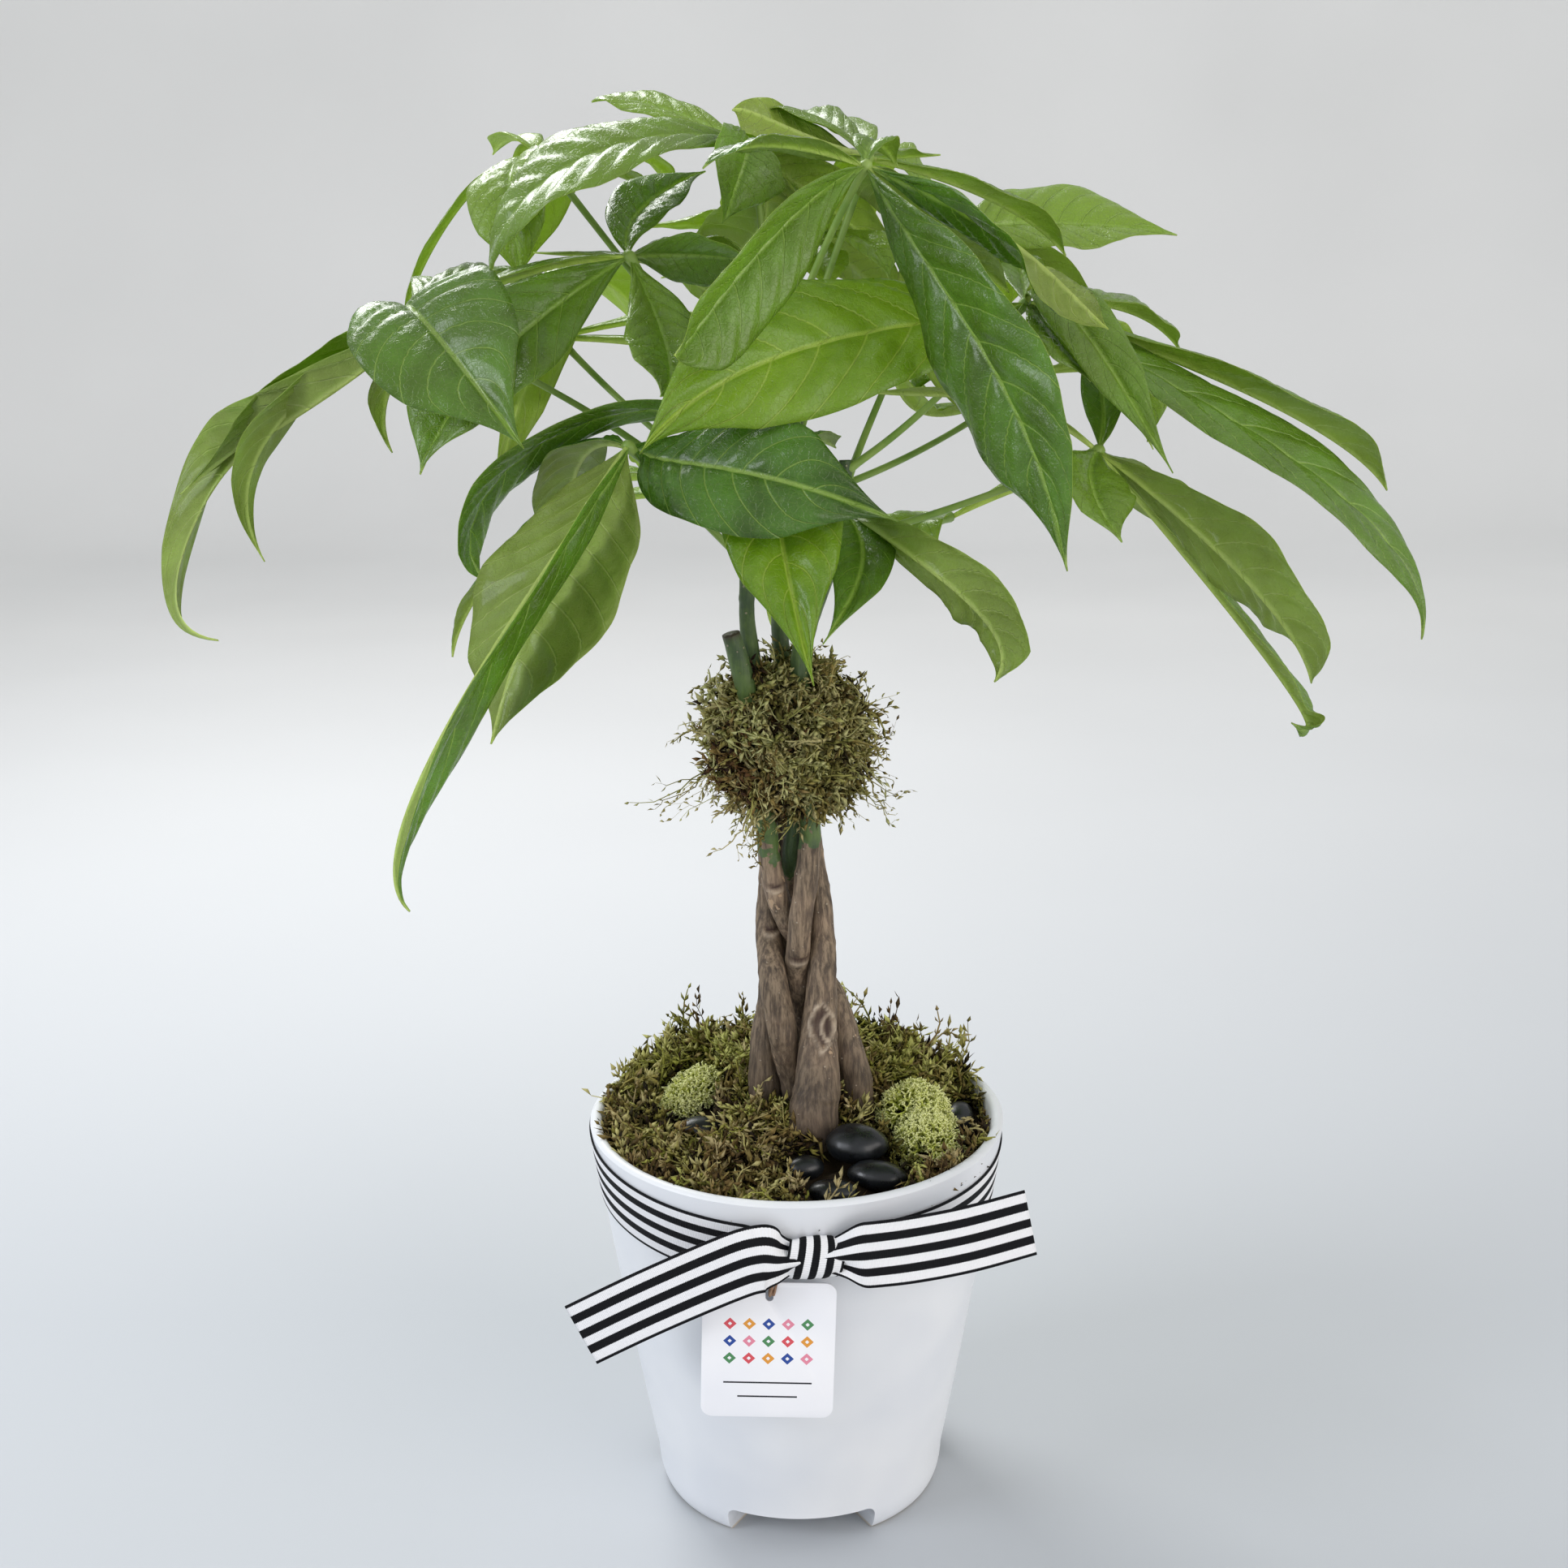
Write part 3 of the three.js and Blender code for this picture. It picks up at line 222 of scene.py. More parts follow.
def gridFaces(index, flip=False):
    a, b, c, d = index[:-1, :-1], index[:-1, 1:], index[1:, 1:], index[1:, :-1]
    return np.stack([a, d, c, b] if flip else [a, b, c, d], -1).reshape(-1, 4).tolist()


def lumpy(places, often=1, shift=0, fade=0.9, gap=2.2, octaves=4):  # uneven lumps, about -1 to 1
    return np.array([noise.fractal(Vector(p * often + shift), fade, gap, octaves) for p in places])


def patches(places, often, shift=0):  # slow changes from place to place, about -1 to 1
    return np.array([noise.noise(Vector(p * often + shift)) for p in places])


def makeCore(name, middle, half, core, shift):  # a lumpy ball that fills the middle of a clump
    deselectAll()
    bpy.ops.mesh.primitive_ico_sphere_add(subdivisions=core["cuts"], radius=1, location=(0, 0, 0))
    made = bpy.context.object
    made.name = name
    places = np.array([v.co[:] for v in made.data.vertices])
    size = core["size"] + core["lump"] * lumpy(places, core["often"], shift)
    shape = middle + places * half * size[:, None]
    made.data.vertices.foreach_set("co", (shape * mm + potAxis).ravel())
    return made


def tubeParts(points, radii, sides, first=0):  # points and faces of a closed tube
    _, side, up = carriedFrames(points)
    turn = np.arange(sides) * 2 * math.pi / sides
    ring = side[:, None] * np.cos(turn)[None, :, None] + up[:, None] * np.sin(turn)[None, :, None]
    rings = np.asarray(points)[:, None] + ring * np.asarray(radii)[:, None, None]
    index = first + numbered(len(points), sides, wrap=True)
    return rings.reshape(-1, 3), gridFaces(index) + [index[0, -2::-1].tolist(), index[-1, :-1].tolist()]


# matte white glaze on stoneware, slip cast and dipped: an even cool white with a soft broad sheen
def makeGlaze():
    material, add = newMaterial("matteGlaze")
    where = add("TexCoord", out="Object")
    cloud = add("TexNoise", {"Vector": where, "Scale": perMetre(45), "Detail": 2})  # uneven glaze
    colour = add("ValToRGB", {0: cloud}, stops=[(0.35, "#DEE1E6"), (0.65, "#E7E9EC")])
    height = add("SeparateXYZ", {0: where}, "Z")
    glazed = add("MapRange", {0: height, 1: 0.0005, 2: 0.0014})  # the foot's edge is wiped bare to the clay
    colour = add("Mix", {0: glazed, 6: "#CBBFAE", 7: colour})
    grain = add("TexNoise", {"Vector": where, "Scale": perMetre(1.6), "Detail": 4, "Roughness": 0.6})
    wave = add("TexNoise", {"Vector": where, "Scale": perMetre(14), "Detail": 1})
    relief = add("Math", {0: wave, 1: 6.0, 2: grain}, operation="MULTIPLY_ADD")
    rough = add("MapRange", {0: grain, 1: 0.3, 2: 0.7, 3: 0.36, 4: 0.48})
    normal = add("Bump", {"Height": relief, "Distance": 0.05 * mm, "Strength": 0.35})
    shader = add("BsdfPrincipled", {"Base Color": colour, "Roughness": rough, "IOR": 1.5, "Coat Weight": 0.12,
                                    "Coat Roughness": 0.3, "Normal": normal})
    add("OutputMaterial", {"Surface": shader})
    return material


pot = {"rimRadius": 85, "height": 165, "wall": 5, "floor": 5, "footHeight": 12, "footInner": 43,
       "footOuter": 56, "baseRadius": 60.5, "baseRound": 14, "midRadius": 75, "notchAngle": 60, "sides": 144}


def wallRadius(z):
    z = np.asarray(z, float)
    rise = np.clip(1 - z / pot["baseRound"], 0, 1)
    low = pot["footOuter"] + (pot["baseRadius"] - pot["footOuter"]) * np.sqrt(1 - rise**2)
    up = np.clip((z - pot["baseRound"]) / (pot["height"] - pot["baseRound"]), 0, 1)
    straight = pot["baseRadius"] + (pot["rimRadius"] - pot["baseRadius"]) * up
    swell = pot["midRadius"] - (pot["baseRadius"] + (pot["rimRadius"] - pot["baseRadius"]) * 0.56)
    return np.where(z < pot["baseRound"], low, straight + swell * 4 * up * (1 - up))


def fromAxis(corner):
    return math.hypot(corner.x - potAxis[0], corner.y - potAxis[1])


def extrudeRing(radius, height):  # the selected ring is drawn up to a new radius and height
    bpy.ops.mesh.extrude_region_move()
    mesh = bpy.context.edit_object
    mesh.update_from_editmode()
    ring = [v.co for v in mesh.data.vertices if v.select]
    scale = radius * mm / (sum(fromAxis(corner) for corner in ring) / len(ring))
    lift = height * mm - ring[0].z
    bpy.ops.transform.resize(value=(scale, scale, 1), center_override=fromPot(0, 0, 0))
    bpy.ops.transform.translate(value=(0, 0, lift))


def potProfile():  # radius and height, from under the floor out, up the wall, over the lip and down inside
    foot, inner, high, lip = pot["footHeight"], pot["footInner"], pot["height"], pot["wall"] / 2
    yield from ((inner - 1.5, foot), (inner, foot - 1.5), (inner + 0.2, 1), (inner + 1.2, 0))
    yield wallRadius(0) - 0.6, 0
    for z in (0.4, 1.2, 2.4, 4, 6, 8.5, 11, 14, 24, 40, 60, 80, 100, 120, 140, 155, 161, high - lip):
        yield wallRadius(z), z
    for i in range(1, 9):
        turn = math.pi * i / 8
        yield pot["rimRadius"] - lip + lip * math.cos(turn), high - lip + lip * math.sin(turn)
    for z in (155, 140, 110, 80, 50, 30):
        yield wallRadius(z) - pot["wall"], z
    inside, corner = foot + pot["floor"], wallRadius(24) - pot["wall"]
    yield from ((corner - 5, inside + 2), (corner - 9, inside), (12, inside))


def makePot():
    deselectAll()
    bpy.ops.mesh.primitive_circle_add(vertices=pot["sides"], radius=pot["footInner"] * mm * 0.5,
                                      location=fromPot(0, 0, pot["footHeight"]), fill_type="NGON")
    made = bpy.context.object
    made.name = "flower_pot"
    bpy.ops.object.transform_apply(location=True, rotation=True, scale=True)
    bpy.ops.object.mode_set(mode="EDIT")
    bpy.ops.mesh.select_mode(type="VERT")
    bpy.ops.mesh.select_all(action="SELECT")
    bpy.ops.mesh.flip_normals()
    for radius, height in potProfile():
        extrudeRing(float(radius), height)
    bpy.ops.mesh.fill()
    bpy.ops.mesh.select_all(action="SELECT")
    bpy.ops.mesh.normals_make_consistent(inside=False)
    bpy.ops.object.mode_set(mode="OBJECT")
    for i in range(3):  # three notches leave three low feet
        middle, spread = math.radians(-90 + 120 * i), math.tan(math.radians(pot["notchAngle"] / 2))
        deselectAll()
        bpy.ops.mesh.primitive_cube_add(size=1, location=(0, 0, 0))
        cutter = bpy.context.object
        for corner in cutter.data.vertices:
            reach = 34 if corner.co.x < 0 else 90
            side = math.copysign(spread * reach, corner.co.y)
            x = reach * math.cos(middle) - side * math.sin(middle)
            y = reach * math.sin(middle) + side * math.cos(middle)
            corner.co = fromPot(x, y, pot["footHeight"] if corner.co.z > 0 else -3)
        # the notch's upper corners are round
        bevelEdges(cutter, lambda a, b: min(a.z, b.z) > 0.004 and abs(fromAxis(a) - fromAxis(b)) > 0.02, 4, 6)
        bpy.ops.object.mode_set(mode="EDIT")
        bpy.ops.mesh.select_all(action="SELECT")
        bpy.ops.mesh.normals_make_consistent(inside=False)
        bpy.ops.object.mode_set(mode="OBJECT")
        cutAway(made, cutter)
    softenEdges(made, 1.9, 4, 40, 38)  # glaze rounds every edge
    finishPiece(made, [makeGlaze()], ["pot"])


makePot()
print("pot made")

stemRoutes = {  # from the top down into the soil: x, y, z and radius in mm
    "stem_1": [
        (-23, -16, 369, 3.1), (-19, -15, 353, 3.6), (-14, -12, 329, 4.1), (-10.8, -7.8, 289, 4.1),
        (-9.2, -7, 273, 4.2), (-5.8, -5.2, 257, 4.4), (-0.1, 0.3, 242, 4.5), (6, 4.5, 228, 4.7),
        (13.9, 3.5, 216, 5), (18.8, 1, 203, 5.3), (22, -1, 189, 5.9), (24.9, 0, 174, 6.4),
        (25.2, 1, 130, 6.5), (24.5, 2, 95, 4)
    ],
    "stem_2": [
        (-14, -2, 432, 2), (-15, -4, 423, 2.2), (-16, -5, 405, 2.4), (-17, -4, 384, 2.6), (-16, -1, 360, 3),
        (-9, 2, 327, 3.4), (-0.3, -3, 295, 2.9), (-1.3, -1.5, 277, 3), (-1.3, 4.6, 264, 3.4),
        (-3.8, 10.5, 245, 4.2), (-8.5, 9, 226, 4.7), (-10.3, 4.6, 210, 5.1), (-12.7, 3.2, 191, 5.9),
        (-12.7, 3, 168, 6.7), (-12.6, 3, 130, 6.8), (-12, 3, 95, 4)
    ],
    "stem_3": [
        (21, -1, 432, 2), (21, -2, 422, 2.2), (20, -4, 405, 2.5), (11, -8, 383, 3), (4, -9, 361, 3.5),
        (3, -9, 335, 3.9), (6.4, -9.5, 293, 3.8), (6, -10, 280, 4.1), (4.6, -10.6, 267, 4.4),
        (2.3, -10.6, 252, 4.5), (1.2, -8.5, 238, 4.4), (0.6, -3.5, 226, 4.3), (2.2, 3.5, 210, 4.5),
        (5, 9.5, 190, 5), (7.5, 13.5, 170, 5.4), (8, 14.5, 130, 5.8), (7, 14, 95, 4)
    ],
    "stem_4": [
        (4, 17, 456, 1.8), (3, 16, 441, 2), (2, 15, 427, 2.2), (-1, 14, 407, 2.4), (-4, 13, 382, 2.8),
        (-4, 11, 357, 3.2), (2, 8, 324, 3.7), (5.4, 3, 295, 3.9), (8, 0, 273, 3.9), (10.1, -2, 260, 4.1),
        (11.1, -4.5, 244, 4.6), (10.8, -8, 227.5, 5.5), (9.8, -9.8, 207, 7), (9, -13.3, 194, 8.2),
        (7.9, -15.2, 181, 9.2), (6.4, -17, 167, 9.7), (6, -17.5, 130, 9.8), (6, -15, 95, 5)
    ],
    "stem_5": [
        (-5, 18, 332, 3.5), (-7, 12.5, 305, 3.9), (-7.3, 8, 290, 4.1), (-8.4, 5.5, 277, 4.2),
        (-9.7, 4.4, 263, 4.4), (-10.6, 4.7, 252, 4.5), (-10.5, 0.9, 242, 4.7), (-9.8, -5, 233.6, 5),
        (-8.9, -8.8, 226, 5.2), (-7, -10.2, 214, 5.5), (-5.4, -9.5, 204, 5.7), (-3.6, -5.3, 191.5, 5.8),
        (-1, -2, 178, 5.3), (0, -0.5, 165, 5.2), (0, -0.5, 130, 5.2), (0, -0.5, 95, 4)
    ],
}

# bark of a young money tree: thin grey-brown skin with fine upright cracks, cork dots and pale peeled patches;
# green skin on the younger wood above, with a ragged edge
def makeBark():
    material, add = newMaterial("youngBark")
    where = add("TexCoord", out="Object")
    height = add("SeparateXYZ", {0: where}, "Z")
    greenFrom = add("Attribute", out="Fac", attribute_name="greenFrom")  # metres above the table
    scar = add("Attribute", out="Fac", attribute_name="scar")  # leaf scars, hollows and cut ends
    ridge = add("Attribute", out="Fac", attribute_name="ridge")  # torn pale fibres round the scars
    upright = add("Mapping", {"Vector": where, "Scale": (1, 1, 0.13)})  # the grain runs up the stems
    streak = add("TexNoise", {"Vector": upright, "Scale": perMetre(1.6), "Detail": 6, "Roughness": 0.65})
    cloud = add("TexNoise", {"Vector": where, "Scale": perMetre(17), "Detail": 5, "Roughness": 0.6})
    brown = add("ValToRGB", {0: cloud}, stops=[(0.3, "#4E4237"), (0.5, "#6E5D4D"), (0.7, "#917A66")])
    lines = add("ValToRGB", {0: streak}, stops=[(0.4, "#261F18"), (0.48, "#665744"), (0.6, "#A89378")])
    brown = add("Mix", {0: 0.48, 6: brown, 7: lines})
    low = add("MapRange", {0: height, 1: 0.215, 2: 0.17})  # greyer and darker near the soil
    brown = add("Mix", {0: add("Math", {0: low, 1: 0.55}, operation="MULTIPLY"), 6: brown, 7: "#463C34"})
    flakes = add("Mapping", {"Vector": where, "Location": (3.1, 0, 0), "Scale": (1, 1, 0.55)})
    flakes = add("TexNoise", {"Vector": flakes, "Scale": perMetre(11), "Detail": 4, "Roughness": 0.55})
    peeled = add("MapRange", {0: flakes, 1: 0.665, 2: 0.675})
    brown = add("Mix", {0: add("Math", {0: peeled, 1: 0.8}, operation="MULTIPLY"), 6: brown, 7: "#BFA283"})
    green = add("ValToRGB", {0: streak}, stops=[(0.3, "#3A4F2A"), (0.7, "#62783A")])
    deep = add("ValToRGB", {0: cloud}, stops=[(0.42, "#283E2E"), (0.58, "#566E36")])
    green = add("Mix", {0: 0.5, 6: green, 7: deep})
    ragged = add("TexNoise", {"Vector": where, "Scale": perMetre(9), "Detail": 4, "Roughness": 0.6})
    edge = add("Math", {0: ragged, 1: 0.05, 2: height}, operation="MULTIPLY_ADD")
    edge = add("Math", {0: edge, 1: greenFrom}, operation="SUBTRACT")
    youngWoodAndBacklitLeaf = add("MapRange", {0: edge, 1: 0.0248, 2: 0.0256})
    colour = add("Mix", {0: youngWoodAndBacklitLeaf, 6: brown, 7: green})
    dots = add("TexVoronoi", {"Vector": where, "Scale": perMetre(4.2), "Randomness": 1.0}, "Distance")
    cork = add("MapRange", {0: dots, 1: 0.13, 2: 0.08})  # cork dots, about half a millimetre across
    for share, mark, shade in ((0.5, cork, "#C4B49E"), (1.0, scar, "#36211A"), (0.85, ridge, "#CDBBA4")):
        weight = add("Math", {0: mark, 1: share}, operation="MULTIPLY")
        colour = add("Mix", {0: weight, 6: colour, 7: shade})
    relief = add("Math", {0: cork, 1: 0.5, 2: streak}, operation="MULTIPLY_ADD")
    relief = add("Math", {0: peeled, 1: -0.5, 2: relief}, operation="MULTIPLY_ADD")
    normal = add("Bump", {"Height": relief, "Distance": 0.6 * mm, "Strength": 0.9})
    rough = add("MapRange", {0: youngWoodAndBacklitLeaf, 3: 0.66, 4: 0.4})
    shader = add("BsdfPrincipled", {"Base Color": colour, "Roughness": rough, "IOR": 1.45, "Normal": normal})
    add("OutputMaterial", {"Surface": shader})
    return material


bark = {"sides": 44, "stepEvery": 1.1, "lump": 0.45,
        "greenFrom": {"stem_1": 279, "stem_2": 266, "stem_3": 286, "stem_4": 330, "stem_5": 318}}
stemEye = {"stem": "stem_4", "middle": (11.6, 208), "width": 9.5, "height": 20}  # where a branch was torn off
leafScars = {"stem_3": (1.7, 235.1), "stem_5": (-9.2, 244.7), "stem_1": (-7.6, 265.5)}  # x and z
joints = {"stem_3": [270.5], "stem_1": [266], "stem_4": [262, 240], "stem_5": [229]}


def makeStem(name, route, skin, number):
    rand = random.Random(40 + number)
    route = np.array(route, float)
    lengths = np.concatenate([[0], np.cumsum(np.linalg.norm(np.diff(route[:, :3], axis=0), axis=1))])
    count = int(lengths[-1] / bark["stepEvery"])
    places = np.interp(np.linspace(0, lengths[-1], count), lengths, np.arange(len(route)))
    rows = smoothBetween(route, places)
    line, radii = rows[:, :3], rows[:, 3].copy()
    for height in joints.get(name, []) + [rand.uniform(170, 400) for _ in range(4)]:
        radii += 0.28 * np.exp(-((line[:, 2] - height) / 1.3)**2)
    points, faces = tubeParts(line, radii, bark["sides"])
    middle = np.repeat(line, bark["sides"], 0)
    outward = unit(points - middle)
    along = np.repeat(np.linspace(0, lengths[-1], count), bark["sides"])
    front = outward[:, 1] < 0.15
    scar, ridge = np.zeros(len(points)), np.zeros(len(points))
    lift = bark["lump"] * lumpy(points, 0.09, number, 1.0, 2.1) * np.repeat(radii, bark["sides"]) / 5
    if name in leafScars:  # a dark smile with a pale lip below it
        x, z = leafScars[name]
        apart = points[:, 0] - x
        smile = points[:, 2] - z - 0.09 * apart**2
        within = front * np.exp(-(apart / 3.2)**4)
        scar = np.maximum(scar, within * np.exp(-(smile / 1.0)**2))
        ridge = np.maximum(ridge, 0.6 * within * np.exp(-((smile + 2.2) / 0.8)**2))
        lift += within * (0.45 * np.exp(-((smile + 2.0) / 1.1)**2) - 0.5 * np.exp(-(smile / 1.0)**2))
    if name == stemEye["stem"]:  # two pointed lips of torn fibre round a dark hollow
        x = (points[:, 0] - stemEye["middle"][0]) / (stemEye["width"] / 2)
        z = (points[:, 2] - stemEye["middle"][1]) / (stemEye["height"] / 2)
        torn = lumpy(points * [0.5, 0.5, 0.2])
        for scale, shift, strength in ((1.0, -0.2, 0.8), (0.55, 0.25, 1.0)):
            almond = np.abs((x - shift) / scale + 0.22 * torn) + (np.abs(z) / scale)**1.8
            lip = front * np.exp(-((almond - 1) / (0.15 / scale))**2) * strength * (0.75 + 0.6 * torn)
            ridge = np.maximum(ridge, lip.clip(0, 1))
            lift += 1.0 * lip
            scar = np.maximum(scar, front * 0.9 * np.exp(-(almond / 0.85)**4))
            lift -= 0.45 * front * np.exp(-(almond / 0.8)**4)
        scar = np.clip(scar - ridge, 0, 1)
    if name in ("stem_1", "stem_5"):  # cut off above: dry brown wood
        scar = np.maximum(scar, 0.9 * np.exp(-(along / 2.6)**2))
    made = meshObject(name + "_fine", points + outward * (0.3 + lift[:, None]), faces)
    addAttribute(made, "greenFrom", np.full(len(points), bark["greenFrom"][name] * mm))
    addAttribute(made, "scar", scar)
    addAttribute(made, "ridge", ridge)
    finishPiece(made, [skin], [name])


barkSkin = makeBark()
for number, (name, route) in enumerate(stemRoutes.items()):
    makeStem(name, route, barkSkin, number)
print("stems made")

